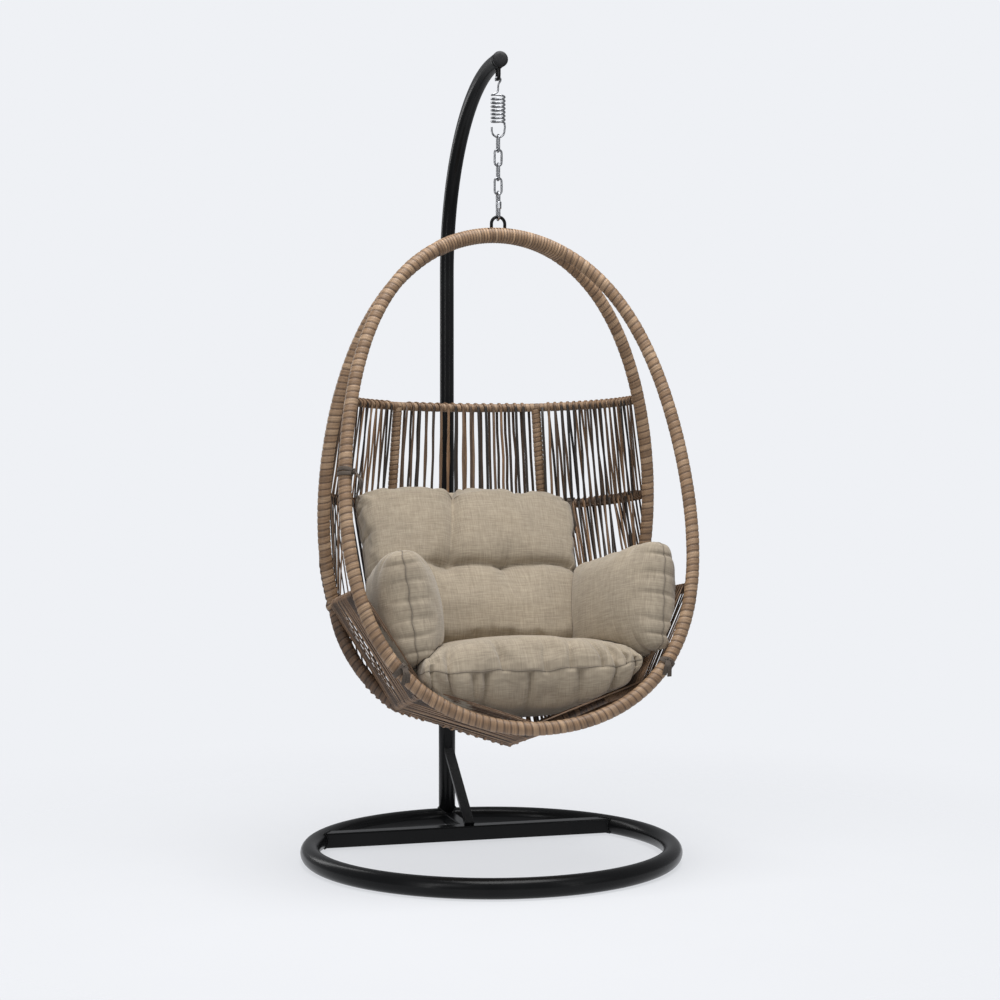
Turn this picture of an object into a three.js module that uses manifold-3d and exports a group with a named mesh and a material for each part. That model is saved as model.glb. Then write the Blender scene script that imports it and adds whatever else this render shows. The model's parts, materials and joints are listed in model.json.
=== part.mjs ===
// Hanging egg chair: a ring-footed stand with a bent arm, a coil spring and chain,
// and an egg-shaped basket of wrapped steel tube, strung with flat wicker strand,
// that holds four loose cushions. Millimetres, +Z up; the sitter faces -Y.
import * as THREE from 'three';
import { mergeVertices } from 'three/addons/utils/BufferGeometryUtils.js';
import Module from 'manifold-3d';

const wasm = await Module();
wasm.setup();

// ---- driving dimensions -------------------------------------------------------

const GAP = 0.3;                  // left between two pieces that touch
const LOOSE = 0.5;                // running clearance of a sleeve on its tube

const RING_RADIUS = 451;          // base ring, to the centre of its tube
const RING_TUBE = 24;             // radius of the base ring's tube
const CROSS_BAR_Y = 221;
const CROSS_BAR_SIZE = 38;        // square tube
const TIE_BAR_SIZE = 30;

const LOWER_POST_RADIUS = 22.5;
const LOWER_POST_TOP = 820;
const POST_FOOT_RISE = 8;           // the post's foot above the ring tube's axis, coped over it
const UPPER_POST_RADIUS = 19;
const UPPER_POST_FOOT = 560;
const POST_WALL = 2.2;
const POST_BORE_SIDES = 8;
const BRACE_WIDTH = 26;
const BRACE_THICK = 12;
const BRACE_TOP = 232;            // where the brace meets the post
const LOCK_BOLT_Z = 760;
const LOCK_BOLT_RADIUS = 4;

const ARM_Z = 1973;               // axis of the arm's level end
const ARM_BEND = 470;             // bend radius of the arm
const HANG_Y = -60;               // the basket hangs on this vertical line
const ARM_OVERHANG = 16;          // arm beyond the hanging line
const CAP_LENGTH = 9;

const EYE_WIRE = 3.5;             // radius of the rod of the eye under the arm
const EYE_HALF = 11;
const EYE_DROP = 27;              // from the arm's underside to the rod's lowest centre

const SPRING_WIRE = 2.4;          // radii
const SPRING_RADIUS = 16.2;
const SPRING_CURLS = 7;
const SPRING_PITCH = 9.2;
const SPRING_BODY_TOP = 1888;
const SPRING_HOOK_RADIUS = 6.6;
const SPRING_LOOP_LENGTH = 38;    // from the last curl to the lower loop's lowest centre

const LINK_WIRE = 2.7;
const LINK_LENGTH = 46;           // outside
const LINK_WIDTH = 23;            // outside
const LINK_COUNT = 4;
const QUICK_WIRE = 3;
const QUICK_WIDTH = 27;
const QUICK_NUT = 5.6;

const LIFT_ROD = 4;               // eye on the basket's crown
const LIFT_HALF = 17;
const SADDLE = { length: 62, width: 46, thick: 3.2 };

const CROWN_Z = 1545;             // axis of both hoops at the top
const HOOP_SPACING = 26;          // between the two hoops' axes at the top
const FRONT_HOOP = { half: 456, taper: 0.1, fullness: 0.082, drop: 1216, lean: -16.4 };
const REAR_HOOP = { half: 443, taper: 0.088, fullness: 0.057, drop: 1214, lean: 5.4 };
const HOOP_STEPS = 36;
const HOOP_TUBE = 11;
const HOOP_WRAP = 15.5;
const CROWN_WRAP = 18.5;
const CROWN_ANGLE = 23;           // degrees of hoop that the crown wrap covers on each side
const CROWN_STEPS = 2;            // whole hoop steps inside it
const KNOB_STEP = 12;             // hoop steps from the top down to the corner knob
const KNOB_RADIUS = 22;
const LOWER_HOOP_BOTTOM = [-156, 317];   // Y and Z of the basket's lowest corner

const RAIL_TUBE = 7;
const RIB_TUBE = 9.5;
const RAIL_WRAP = 12.5;
const TOP_RAIL = { z: 1150, depth: 278, sag: 17 };
const MIDDLE_RAIL = { z: 914, depth: 253, sag: 42 };
const BACK_RIB_ANGLE = 29;        // degrees along the rails, from their middle
const RAIL_STEPS = 18;

const SIDE_RIB_ANGLE = 118;       // on the front hoop, degrees from the top
const CORNER_RIB_ANGLE = 148;
const CORNER_ANGLE = 43;          // on the lower hoop, degrees from its middle

const STRAND_WIDTH = 11;
const STRAND_THICK = 3;
const STRAND_PITCH = 31;
const BAY_NEAR_RIB = 4;           // degrees along the rail kept clear of a rib
const TOP_BAY_END = 86;
const LOW_BAY_END = 79;
const HOOP_END_ANGLE = 61;        // strands beyond this end on the rear hoop, above the knob

// Cushions: half sizes of the outline, how far the two faces bulge, and how far the outline
// draws in, first its ends and then its long sides. Less than nothing lets it swell instead.
const SEAT_CUSHION = { half: [286, 178], crown: [90, 92], pull: [0.05, 0.05], grid: [10, 7] };
const BACK_CUSHION = { half: [298, 236], crown: [84, 74], pull: [0.05, -0.05], grid: [13, 9] };
const ARM_CUSHION = { half: [180, 142], crown: [90, 90], pull: [0.05, 0.03], grid: [8, 7] };
const CUSHION_FULLNESS = 0.6;     // 1 is an even dome; less is blunter at the seam
const CUSHION_ROOM = 1.1;         // kept clear round a cushion by the ones that lie against it
// Middle of each cushion, its width direction and the way its face looks.
const CUSHION_PLACES = {
  seat: { centre: [-6, -228, 474], wide: [1, 0, 0], face: [0, 0.191, 0.982] },
  back: { centre: [-39, 18, 716], wide: [1, 0, -0.03], face: [0, -0.866, 0.5] },
  left: { centre: [-261, -172, 626], wide: [-0.15, -1, 0.18], face: [1, 0, 0.12] },
  right: { centre: [277, -176, 632], wide: [0.34, -1, 0.22], face: [-1, 0, 0.12] },
};
// Tufts of the back cushion, as shares of its half sizes, and the fold that joins them.
const TUFTS = [-0.21, 0.28];
const TUFT_HEIGHT = -0.06;
const TUFT_DEPTH = 34;
const TUFT_SPREAD = 0.2;
const FOLD_START = -0.3;
const FOLD_SHARE = 0.45;          // of the tufts' depth
const FOLD_SPREAD = 0.11;

const TAPE_WIDTH = 12;
const TAPE_THICK = 1.6;
const KNOT_SIZE = 16;
const KNOT_HEIGHT = 9;
const SEAT_TIE_ANGLE = 140;       // on the front hoop, degrees from the top
const BACK_TIE_ANGLE = 90;
const TIE_EASE = 1;               // the tape bridges the wrapped tube's bends

// ---- materials ------------------------------------------------------------------

const material = (color, roughness, metalness) =>
  new THREE.MeshStandardMaterial({ color, roughness, metalness });

const BLACK_STEEL = ['#1c1d1f', 0.45, 0.6];
const ZINC = ['#8f9496', 0.35, 0.9];
const RAW_TUBE = ['#4a4642', 0.5, 0.8];
const WICKER = ['#8c6e55', 0.75, 0];
const DARK_WICKER = ['#6b4f3c', 0.8, 0];
const PLASTIC = ['#141516', 0.55, 0];
const FABRIC = ['#a89b87', 0.95, 0];
const TAPE = ['#c9c2b6', 0.95, 0];

// ---- solids and curves ------------------------------------------------------------

const chair = new THREE.Group();

function add(name, shape, finish) {
  const geometry = shape.isBufferGeometry ? shape : toGeometry(shape);
  const mesh = new THREE.Mesh(geometry, material(...finish));
  mesh.name = name;
  chair.add(mesh);
  return mesh;
}

function toSolid(geometry) {
  const bare = geometry.clone();
  bare.deleteAttribute('normal');
  bare.deleteAttribute('uv');
  const merged = mergeVertices(bare, 1e-4);
  return new wasm.Manifold(new wasm.Mesh({
    numProp: 3,
    vertProperties: new Float32Array(merged.attributes.position.array),
    triVerts: new Uint32Array(merged.index.array),
  }));
}

function toGeometry(solid) {
  const mesh = solid.getMesh();
  const geometry = new THREE.BufferGeometry();
  geometry.setAttribute('position', new THREE.BufferAttribute(mesh.vertProperties, 3));
  geometry.setIndex(new THREE.BufferAttribute(mesh.triVerts, 1));
  return geometry;
}

const union = (solids) => solids.reduce((sum, next) => sum.add(next));
const cut = (solid, tools) => tools.reduce((rest, tool) => rest.subtract(tool), solid);
const radians = THREE.MathUtils.degToRad;
const V = (x, y, z) => new THREE.Vector3(x, y, z);
const flats = (radius, count) => radius / Math.cos(Math.PI / count);
const mixPoints = (a, b, t) => a.clone().lerp(b, t);

// A curve given by a formula of t from 0 to 1, stepped evenly in t.
class FormulaCurve extends THREE.Curve {
  constructor(formula) {
    super();
    this.formula = formula;
  }

  getPoint(t, target = new THREE.Vector3()) {
    return target.copy(this.formula(t));
  }

  getUtoTmapping(u) {
    return u;
  }
}

const stretch = (curve, from, to) =>
  new FormulaCurve((t) => curve.getPoint(from + (to - from) * t));
const straight = (a, b) => new THREE.LineCurve3(a, b);

// A regular outline whose corners lie on the radius; a bore has its flats on it.
function outline(radius, sides, type = THREE.Shape) {
  const points = [];
  for (let i = 0; i < sides; i += 1) {
    const angle = (i + 0.5) / sides * 2 * Math.PI;
    points.push(new THREE.Vector2(radius * Math.cos(angle), radius * Math.sin(angle)));
  }
  return new type(points);
}

function roundBar(curve, radius, steps = 1, sides = 8) {
  const extrudePath = curve;
  return toSolid(new THREE.ExtrudeGeometry(outline(radius, sides), { steps, extrudePath }));
}

function sleeve(curve, radius, bore, steps = 1, sides = 8, boreSides = 6) {
  const shape = outline(radius, sides);
  shape.holes.push(outline(bore / Math.cos(Math.PI / boreSides), boreSides, THREE.Path));
  return toSolid(new THREE.ExtrudeGeometry(shape, { steps, extrudePath: curve }));
}

// Joins rings of points into one closed skin; open runs are capped at both ends.
function loft(rings, closed = false) {
  const count = rings[0].length;
  const position = rings.flat().flatMap((p) => [p.x, p.y, p.z]);
  const index = [];
  const last = closed ? rings.length : rings.length - 1;
  for (let r = 0; r < last; r += 1) {
    const next = (r + 1) % rings.length;
    for (let i = 0; i < count; i += 1) {
      const j = (i + 1) % count;
      const [a, b] = [r * count + i, r * count + j];
      const [c, d] = [next * count + j, next * count + i];
      index.push(a, b, c, a, c, d);
    }
  }
  if (!closed) {
    const top = (rings.length - 1) * count;
    for (let i = 1; i < count - 1; i += 1) {
      index.push(0, i + 1, i, top, top + i, top + i + 1);
    }
  }
  const geometry = new THREE.BufferGeometry();
  geometry.setAttribute('position', new THREE.Float32BufferAttribute(position, 3));
  geometry.setIndex(signedVolume(position, index) < 0 ? index.reverse() : index);
  return geometry;
}

// Six times the enclosed volume; it is negative when the faces point inwards.
function signedVolume(position, index) {
  const corner = (i) => V(position[3 * i], position[3 * i + 1], position[3 * i + 2]);
  let sum = 0;
  for (let i = 0; i < index.length; i += 3) {
    sum += corner(index[i]).dot(corner(index[i + 1]).cross(corner(index[i + 2])));
  }
  return sum;
}

// A round wire through points; its section is carried along without twisting.
function wire(points, radius, sides, closed = false) {
  const count = points.length;
  const rings = [];
  let side = null;
  for (let i = 0; i < count; i += 1) {
    const before = points[closed ? (i + count - 1) % count : Math.max(i - 1, 0)];
    const after = points[closed ? (i + 1) % count : Math.min(i + 1, count - 1)];
    const along = after.clone().sub(before).normalize();
    if (!side) {
      side = Math.abs(along.x) < 0.9 ? V(1, 0, 0) : V(0, 1, 0);
    }
    side = side.clone().addScaledVector(along, -side.dot(along)).normalize();
    const other = along.clone().cross(side);
    const ring = [];
    for (let k = 0; k < sides; k += 1) {
      const angle = (k / sides) * 2 * Math.PI;
      ring.push(points[i].clone()
        .addScaledVector(side, radius * Math.cos(angle))
        .addScaledVector(other, radius * Math.sin(angle)));
    }
    rings.push(ring);
  }
  return loft(rings, closed);
}

// Points of an arc about a centre, from one angle to another, in the plane of two axes.
function arcPoints(centre, axisA, axisB, radius, from, to, steps) {
  const points = [];
  for (let i = 0; i <= steps; i += 1) {
    const angle = radians(from + (to - from) * (i / steps));
    points.push(centre.clone()
      .addScaledVector(axisA, radius * Math.cos(angle))
      .addScaledVector(axisB, radius * Math.sin(angle)));
  }
  return points;
}

const X = V(1, 0, 0);
const Y = V(0, 1, 0);
const Z = V(0, 0, 1);

function box(width, depth, height, x, y, z) {
  const geometry = new THREE.BoxGeometry(width, depth, height);
  geometry.translate(x, y, z);
  return toSolid(geometry);
}

// ---- stand ------------------------------------------------------------------------

// The ring's section has a flat on top, below and at both sides, so it rests on a flat.
function ringSolid(tube) {
  const sides = 12;
  const corner = tube / Math.cos(Math.PI / sides);
  const profile = [];
  for (let i = 0; i <= sides; i += 1) {
    const angle = ((i % sides) + 0.5) / sides * 2 * Math.PI;
    const radius = RING_RADIUS + corner * Math.cos(angle);
    profile.push(new THREE.Vector2(radius, RING_TUBE + corner * Math.sin(angle)));
  }
  const geometry = new THREE.LatheGeometry(profile, HOOP_STEPS);
  geometry.rotateX(Math.PI / 2);
  return toSolid(geometry);
}

const ARM_TIP_Y = HANG_Y - ARM_OVERHANG;
const postLine = (foot) => straight(V(0, RING_RADIUS, foot), V(0, RING_RADIUS, LOWER_POST_TOP));

function buildStand() {
  const ring = ringSolid(RING_TUBE);
  const ringRoom = ringSolid(RING_TUBE + GAP);
  add('base_ring', ring, BLACK_STEEL);

  const barReach = Math.sqrt(RING_RADIUS ** 2 - CROSS_BAR_Y ** 2);
  const crossBar = box(2 * barReach, CROSS_BAR_SIZE, CROSS_BAR_SIZE, 0, CROSS_BAR_Y, RING_TUBE);
  add('cross_bar', crossBar.subtract(ringRoom), BLACK_STEEL);

  const tieFront = CROSS_BAR_Y + CROSS_BAR_SIZE / 2 + GAP;
  const tieLength = RING_RADIUS - tieFront;
  const tieBar = box(TIE_BAR_SIZE, tieLength, TIE_BAR_SIZE, 0, tieFront + tieLength / 2, RING_TUBE);
  const postRoom = roundBar(postLine(0), LOWER_POST_RADIUS + GAP, 1, 16);
  add('tie_bar', cut(tieBar, [ringRoom, postRoom]), BLACK_STEEL);

  const postBore = UPPER_POST_RADIUS + LOOSE / 2;
  const bolt = straight(V(-40, RING_RADIUS, LOCK_BOLT_Z), V(40, RING_RADIUS, LOCK_BOLT_Z));
  const boltRoom = roundBar(bolt, LOCK_BOLT_RADIUS + GAP, 1, 12);
  const lowerTube = sleeve(postLine(RING_TUBE + POST_FOOT_RISE), LOWER_POST_RADIUS, postBore, 1, 16, 12);
  add('lower_post', cut(lowerTube, [ringRoom, boltRoom]), BLACK_STEEL);
  add('upper_post_arm', upperTube(boltRoom), BLACK_STEEL);
  add('lock_bolt', lockBolt(2 * LOWER_POST_RADIUS + 13), ZINC);
  add('post_brace', postBrace(), BLACK_STEEL);
  add('arm_end_cap', endCap(), PLASTIC);
  add('arm_eye', armEye(), BLACK_STEEL);
}

// Upper post tube, which bends forward at the top and runs level over the basket.
function upperTube(boltRoom) {
  const bendSteps = 12;
  const bendCentre = V(0, RING_RADIUS - ARM_BEND, ARM_Z - ARM_BEND);
  const upperPoints = arcPoints(bendCentre, Y, Z, ARM_BEND, 0, 90, bendSteps);
  upperPoints.unshift(V(0, RING_RADIUS, UPPER_POST_FOOT));
  upperPoints.push(V(0, ARM_TIP_Y, ARM_Z));
  const upperSkin = toSolid(wire(upperPoints, UPPER_POST_RADIUS, 12));
  const inner = upperPoints.map((p) => p.clone());
  inner[0].z -= 1;
  inner[inner.length - 1].y -= 1;
  const upperBore = toSolid(wire(inner, UPPER_POST_RADIUS - POST_WALL, POST_BORE_SIDES));
  return cut(upperSkin, [upperBore, boltRoom]);
}

// Round-headed bolt across both post tubes, with its nut run down on the far side.
function lockBolt(length) {
  const head = LOWER_POST_RADIUS + GAP;
  const profile = [
    [0, -head - 5], [4, -head - 5], [7, -head - 3], [7.5, -head], [LOCK_BOLT_RADIUS, -head],
    [LOCK_BOLT_RADIUS, head], [7, head], [7, head + 6.5], [LOCK_BOLT_RADIUS, head + 6.5],
    [LOCK_BOLT_RADIUS, length - head], [0, length - head],
  ].map(([r, y]) => new THREE.Vector2(r, y));
  const geometry = new THREE.LatheGeometry(profile, 10);
  geometry.rotateZ(Math.PI / 2);
  geometry.translate(0, RING_RADIUS, LOCK_BOLT_Z);
  return toSolid(geometry);
}

// Flat brace with its foot on the cross bar and its head on the post.
function postBrace() {
  const footY = CROSS_BAR_Y;
  const footZ = RING_TUBE + CROSS_BAR_SIZE / 2 + GAP;
  const headY = RING_RADIUS;
  const slope = Math.atan2(BRACE_TOP - footZ, headY - footY);
  const rise = BRACE_THICK / Math.cos(slope);
  const side = new THREE.Shape([
    new THREE.Vector2(footY - CROSS_BAR_SIZE / 2, footZ),
    new THREE.Vector2(footY + 4, footZ),
    new THREE.Vector2(headY, BRACE_TOP - rise),
    new THREE.Vector2(headY, BRACE_TOP),
  ]);
  const geometry = new THREE.ExtrudeGeometry(side, { depth: BRACE_WIDTH, bevelEnabled: false });
  geometry.translate(0, 0, -BRACE_WIDTH / 2);
  geometry.applyMatrix4(new THREE.Matrix4().makeBasis(Y, Z, X));
  return toSolid(geometry).subtract(roundBar(postLine(0), LOWER_POST_RADIUS + GAP, 1, 24));
}

// Domed plastic plug in the arm's open end.
function endCap() {
  const plug = (UPPER_POST_RADIUS - POST_WALL) * Math.cos(Math.PI / POST_BORE_SIDES) - GAP;
  const rim = UPPER_POST_RADIUS + 0.6;
  const profile = [
    [0, 14], [plug, 14], [plug, -GAP], [rim, -GAP], [rim, -5], [rim - 3, -7.5], [rim - 8, -CAP_LENGTH],
    [0, -CAP_LENGTH],
  ].map(([r, y]) => new THREE.Vector2(r, y)).reverse();
  const geometry = new THREE.LatheGeometry(profile, 12);
  geometry.translate(0, ARM_TIP_Y, ARM_Z);
  return geometry;
}

// U of round rod welded under the arm, lying in the plane of the arm.
const EYE_BOTTOM = ARM_Z - UPPER_POST_RADIUS - EYE_DROP;
function armEye() {
  const bendCentre = V(0, HANG_Y, EYE_BOTTOM + EYE_HALF);
  const points = arcPoints(bendCentre, Y, Z, EYE_HALF, 180, 360, 8);
  points.unshift(V(0, HANG_Y - EYE_HALF, ARM_Z));
  points.push(V(0, HANG_Y + EYE_HALF, ARM_Z));
  const armRoom = straight(V(0, HANG_Y - 60, ARM_Z), V(0, HANG_Y + 60, ARM_Z));
  const rod = toSolid(wire(points, EYE_WIRE, 6));
  return rod.subtract(roundBar(armRoom, flats(UPPER_POST_RADIUS + GAP, 16), 1, 16));
}

// ---- spring, chain and quick link ---------------------------------------------------

// The hook's crossing wire rests in the bottom of the arm's eye.
const HOOK_Z = EYE_BOTTOM + EYE_WIRE + SPRING_WIRE + GAP;
const SPRING_BODY_BOTTOM = SPRING_BODY_TOP - SPRING_CURLS * SPRING_PITCH;
const LOOP_Z = SPRING_BODY_BOTTOM - SPRING_LOOP_LENGTH;

function springPoints() {
  const axis = (x, z, y = 0) => V(x, HANG_Y + y, z);
  const hookCentre = axis(0, HOOK_Z - SPRING_HOOK_RADIUS);
  const points = arcPoints(hookCentre, X, Z, SPRING_HOOK_RADIUS, 215, -55, 9);
  points.push(axis(0, hookCentre.z - 13), axis(0, SPRING_BODY_TOP + 9));
  points.push(axis(-SPRING_RADIUS * 0.45, SPRING_BODY_TOP + 4.5, -1));
  const perCurl = 8;
  const start = 180;
  const total = SPRING_CURLS * perCurl + 4;
  for (let i = 0; i <= total; i += 1) {
    const angle = radians(start + (i * 360) / perCurl);
    const x = SPRING_RADIUS * Math.cos(angle);
    const y = SPRING_RADIUS * Math.sin(angle);
    points.push(axis(x, SPRING_BODY_TOP - (i * SPRING_PITCH) / perCurl, y));
  }
  const loopCentre = axis(0, LOOP_Z + SPRING_RADIUS);
  points.push(axis(SPRING_RADIUS + 1.5, SPRING_BODY_BOTTOM - 11));
  points.push(...arcPoints(loopCentre, X, Z, SPRING_RADIUS, 0, -180, 10));
  points.push(axis(-SPRING_RADIUS, loopCentre.z + 8));
  return points;
}

// Least clear distance of the wire to itself, between points not near along it.
function gapToItself(points, radius) {
  const reach = 6 * radius;
  let least = Infinity;
  for (let i = 0; i < points.length; i += 1) {
    let along = 0;
    for (let j = i + 1; j < points.length; j += 1) {
      along += points[j].distanceTo(points[j - 1]);
      if (along > reach) {
        least = Math.min(least, points[i].distanceTo(points[j]) - 2 * radius);
      }
    }
  }
  return least;
}

// A stadium-shaped closed link; faceX turns it into the XZ plane, else the YZ plane.
function linkPoints(top, length, width, wireRadius, faceX) {
  const bend = width / 2 - wireRadius;
  const across = faceX ? X : Y;
  const upper = V(0, HANG_Y, top - wireRadius - bend);
  const lower = V(0, HANG_Y, top - length + wireRadius + bend);
  return [
    ...arcPoints(upper, across, Z, bend, 0, 180, 6),
    ...arcPoints(lower, across, Z, bend, 180, 360, 6),
  ];
}

// Top of each link: it hangs inside the bottom of the one above.
const FIRST_LINK_TOP = LOOP_Z + SPRING_WIRE + GAP + 2 * LINK_WIRE;
const LINK_PITCH = LINK_LENGTH - 4 * LINK_WIRE - GAP;
const linkTop = (i) => FIRST_LINK_TOP - i * LINK_PITCH;
const LIFT_TOP = CROWN_Z + CROWN_WRAP + 31;

function buildHanging() {
  const points = springPoints();
  console.log('spring: least gap to itself', gapToItself(points, SPRING_WIRE).toFixed(2), 'mm');
  add('coil_spring', wire(points, SPRING_WIRE, 5), ZINC);
  for (let i = 0; i < LINK_COUNT; i += 1) {
    const link = linkPoints(linkTop(i), LINK_LENGTH, LINK_WIDTH, LINK_WIRE, i % 2 === 1);
    add(`chain_link_${i + 1}`, wire(link, LINK_WIRE, 6, true), ZINC);
  }

  const top = linkTop(LINK_COUNT - 1) - LINK_LENGTH + 2 * LINK_WIRE + GAP + 2 * QUICK_WIRE;
  const bottom = LIFT_TOP - 2 * LIFT_ROD - GAP - 2 * QUICK_WIRE;
  const quick = linkPoints(top, top - bottom, QUICK_WIDTH, QUICK_WIRE, false);
  add('quick_link', wire(quick, QUICK_WIRE, 6, true), ZINC);
  const legY = HANG_Y - QUICK_WIDTH / 2 + QUICK_WIRE;
  const nutMiddle = (top + bottom) / 2;
  const nutAxis = straight(V(0, legY, nutMiddle - 9), V(0, legY, nutMiddle + 9));
  add('quick_link_nut', sleeve(nutAxis, QUICK_NUT, QUICK_WIRE + GAP, 1, 6, 12), ZINC);
}

// ---- hoops of the basket ---------------------------------------------------------------

// A hoop is an egg outline in a leaning plane; t runs once round it from the top.
function hoopCurve(hoop, offsetY) {
  const lean = radians(hoop.lean);
  return new FormulaCurve((t) => {
    const angle = t * 2 * Math.PI;
    const width = 1 - hoop.taper * Math.cos(angle) + hoop.fullness * Math.cos(2 * angle);
    const down = (hoop.drop / 2) * (1 - Math.cos(angle));
    const y = HANG_Y + offsetY + down * Math.sin(lean);
    return V(hoop.half * Math.sin(angle) * width, y, CROWN_Z - down * Math.cos(lean));
  });
}

const frontHoop = hoopCurve(FRONT_HOOP, -HOOP_SPACING / 2);
const rearHoop = hoopCurve(REAR_HOOP, HOOP_SPACING / 2);
const onFrontHoop = (degrees) => frontHoop.getPoint(((degrees + 360) % 360) / 360);
const onRearHoop = (degrees) => rearHoop.getPoint(((degrees + 360) % 360) / 360);
const KNOB = onRearHoop((KNOB_STEP * 360) / HOOP_STEPS);

// Where a level line cuts the rear hoop on the +X side.
function rearHoopAt(z) {
  let [high, low] = [0, 180];
  for (let i = 0; i < 40; i += 1) {
    const middle = (high + low) / 2;
    if (onRearHoop(middle).z > z) {
      high = middle;
    } else {
      low = middle;
    }
  }
  return onRearHoop(high);
}

// Back rails: half ellipses that bow rearwards and sag between the sides of the rear hoop.
function railPoint(rail, degrees) {
  const end = rearHoopAt(rail.z);
  const bow = Math.cos(radians(degrees));
  return V(end.x * Math.sin(radians(degrees)), end.y + rail.depth * bow, rail.z - rail.sag * bow);
}

const railCurve = (rail, from, to) =>
  new FormulaCurve((t) => railPoint(rail, from + (to - from) * t));

// Lower rear hoop: elliptical from each knob to its corner, then straight to the middle.
function lowerHoopPoint(degrees) {
  const onEllipse = (angle) => {
    const bow = Math.cos(radians(angle));
    const y = KNOB.y + (LOWER_HOOP_BOTTOM[0] - KNOB.y) * bow;
    const z = KNOB.z + (LOWER_HOOP_BOTTOM[1] - KNOB.z) * bow;
    return V(KNOB.x * Math.sin(radians(angle)), y, z);
  };
  if (Math.abs(degrees) >= CORNER_ANGLE) {
    return onEllipse(degrees);
  }
  const corner = onEllipse(Math.sign(degrees || 1) * CORNER_ANGLE);
  const middle = V(0, ...LOWER_HOOP_BOTTOM);
  return mixPoints(middle, corner, Math.abs(degrees) / CORNER_ANGLE);
}

const LOWER_HOOP_STATIONS = [-90, -78, -66, -54, -43, -14, 0];
const lowerStations = [...LOWER_HOOP_STATIONS, ...LOWER_HOOP_STATIONS.slice(0, -1).map((a) => -a).reverse()];

const sides = [['left', -1], ['right', 1]];
const RIB_END_INSET = 5;          // ribs stop short of the hoops' axes, inside their tubes

// Rib axes, from the front hoop to the lower rear hoop.
const ribAxis = {
  side: (s) => [onFrontHoop(s * SIDE_RIB_ANGLE), V(s * KNOB.x, KNOB.y, KNOB.z)],
  corner: (s) => [onFrontHoop(s * CORNER_RIB_ANGLE), lowerHoopPoint(s * CORNER_ANGLE)],
  centre: () => [onFrontHoop(180), lowerHoopPoint(0)],
};

const bottomRibs = [
  ['side_rib_left', ribAxis.side(-1)], ['side_rib_right', ribAxis.side(1)],
  ['corner_rib_left', ribAxis.corner(-1)], ['corner_rib_right', ribAxis.corner(1)],
  ['centre_rib', ribAxis.centre()],
];

function between([a, b], startGap, endGap) {
  const length = a.distanceTo(b);
  return [mixPoints(a, b, startGap / length), mixPoints(b, a, endGap / length)];
}

const ribBar = (axis, radius) =>
  roundBar(straight(...between(axis, RIB_END_INSET, RIB_END_INSET)), radius, 1, 8);

// Flat strand between two points; its width lies along the given direction.
function strand(a, b, widthWay) {
  const along = b.clone().sub(a).normalize();
  const wide = widthWay.clone().addScaledVector(along, -widthWay.dot(along)).normalize();
  const thick = along.clone().cross(wide);
  const rings = [a, b].map((centre) => {
    const corner = (i, j) => centre.clone()
      .addScaledVector(wide, (i * STRAND_WIDTH) / 2)
      .addScaledVector(thick, (j * STRAND_THICK) / 2);
    return [corner(-1, -1), corner(1, -1), corner(1, 1), corner(-1, 1)];
  });
  return toSolid(loft(rings));
}

// Steel pieces of the basket, and the room that each takes in what is wound round it.
const hoopSteps = (curve, from, to) =>
  [stretch(curve, from, to), Math.round((to - from) * HOOP_STEPS)];
const knobT = KNOB_STEP / HOOP_STEPS;
const lowerPoints = lowerStations.map(lowerHoopPoint);
const nearlyRound = stretch(frontHoop, 0.0003, 0.9997);
const frontBar = (radius, flatCount = 6) => roundBar(nearlyRound, radius, HOOP_STEPS, flatCount);
const rearBar = (radius, flatCount = 6) =>
  roundBar(stretch(rearHoop, -knobT, knobT), radius, 2 * KNOB_STEP, flatCount);
const lowerBar = (radius, flatCount = 6) => toSolid(wire(lowerPoints, radius, flatCount));
const railBar = (rail, radius, flatCount = 6) =>
  roundBar(railCurve(rail, -90, 90), radius, RAIL_STEPS, flatCount);

// A back rib bends at the middle rail; each of its two straights runs on past the bend.
function backRibBar(s, radius, topInset = 0, footInset = 0) {
  const spots = [TOP_RAIL, MIDDLE_RAIL].map((rail) => railPoint(rail, s * BACK_RIB_ANGLE));
  const [top, bend, foot] = [...spots, lowerHoopPoint(s * BACK_RIB_ANGLE)];
  const past = -radius / 3;
  const upper = straight(...between([top, bend], topInset, past));
  const lower = straight(...between([bend, foot], past, footInset));
  return union([roundBar(upper, radius), roundBar(lower, radius)]);
}

const knobBall = (s, radius) => ball(V(s * KNOB.x, KNOB.y, KNOB.z), radius);

function buildFrame(hoopRooms, railRooms) {
  add('front_hoop_tube', frontBar(HOOP_TUBE), RAW_TUBE);
  add('rear_hoop_tube', rearBar(HOOP_TUBE), RAW_TUBE);
  const ends = sides.map(([, s]) => knobBall(s, HOOP_TUBE + 2));
  add('lower_hoop_tube', cut(lowerBar(HOOP_TUBE), [hoopRooms[1], ...ends]), RAW_TUBE);
  add('top_rail_tube', railBar(TOP_RAIL, RAIL_TUBE).subtract(hoopRooms[1]), RAW_TUBE);
  add('middle_rail_tube', railBar(MIDDLE_RAIL, RAIL_TUBE).subtract(hoopRooms[1]), RAW_TUBE);
  for (const [name, s] of sides) {
    add(`back_rib_${name}`, cut(backRibBar(s, RIB_TUBE), [...railRooms, hoopRooms[2]]), RAW_TUBE);
  }
  for (const [name, axis] of bottomRibs) {
    add(name, cut(ribBar(axis, RIB_TUBE), hoopRooms), RAW_TUBE);
  }
}

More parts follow.
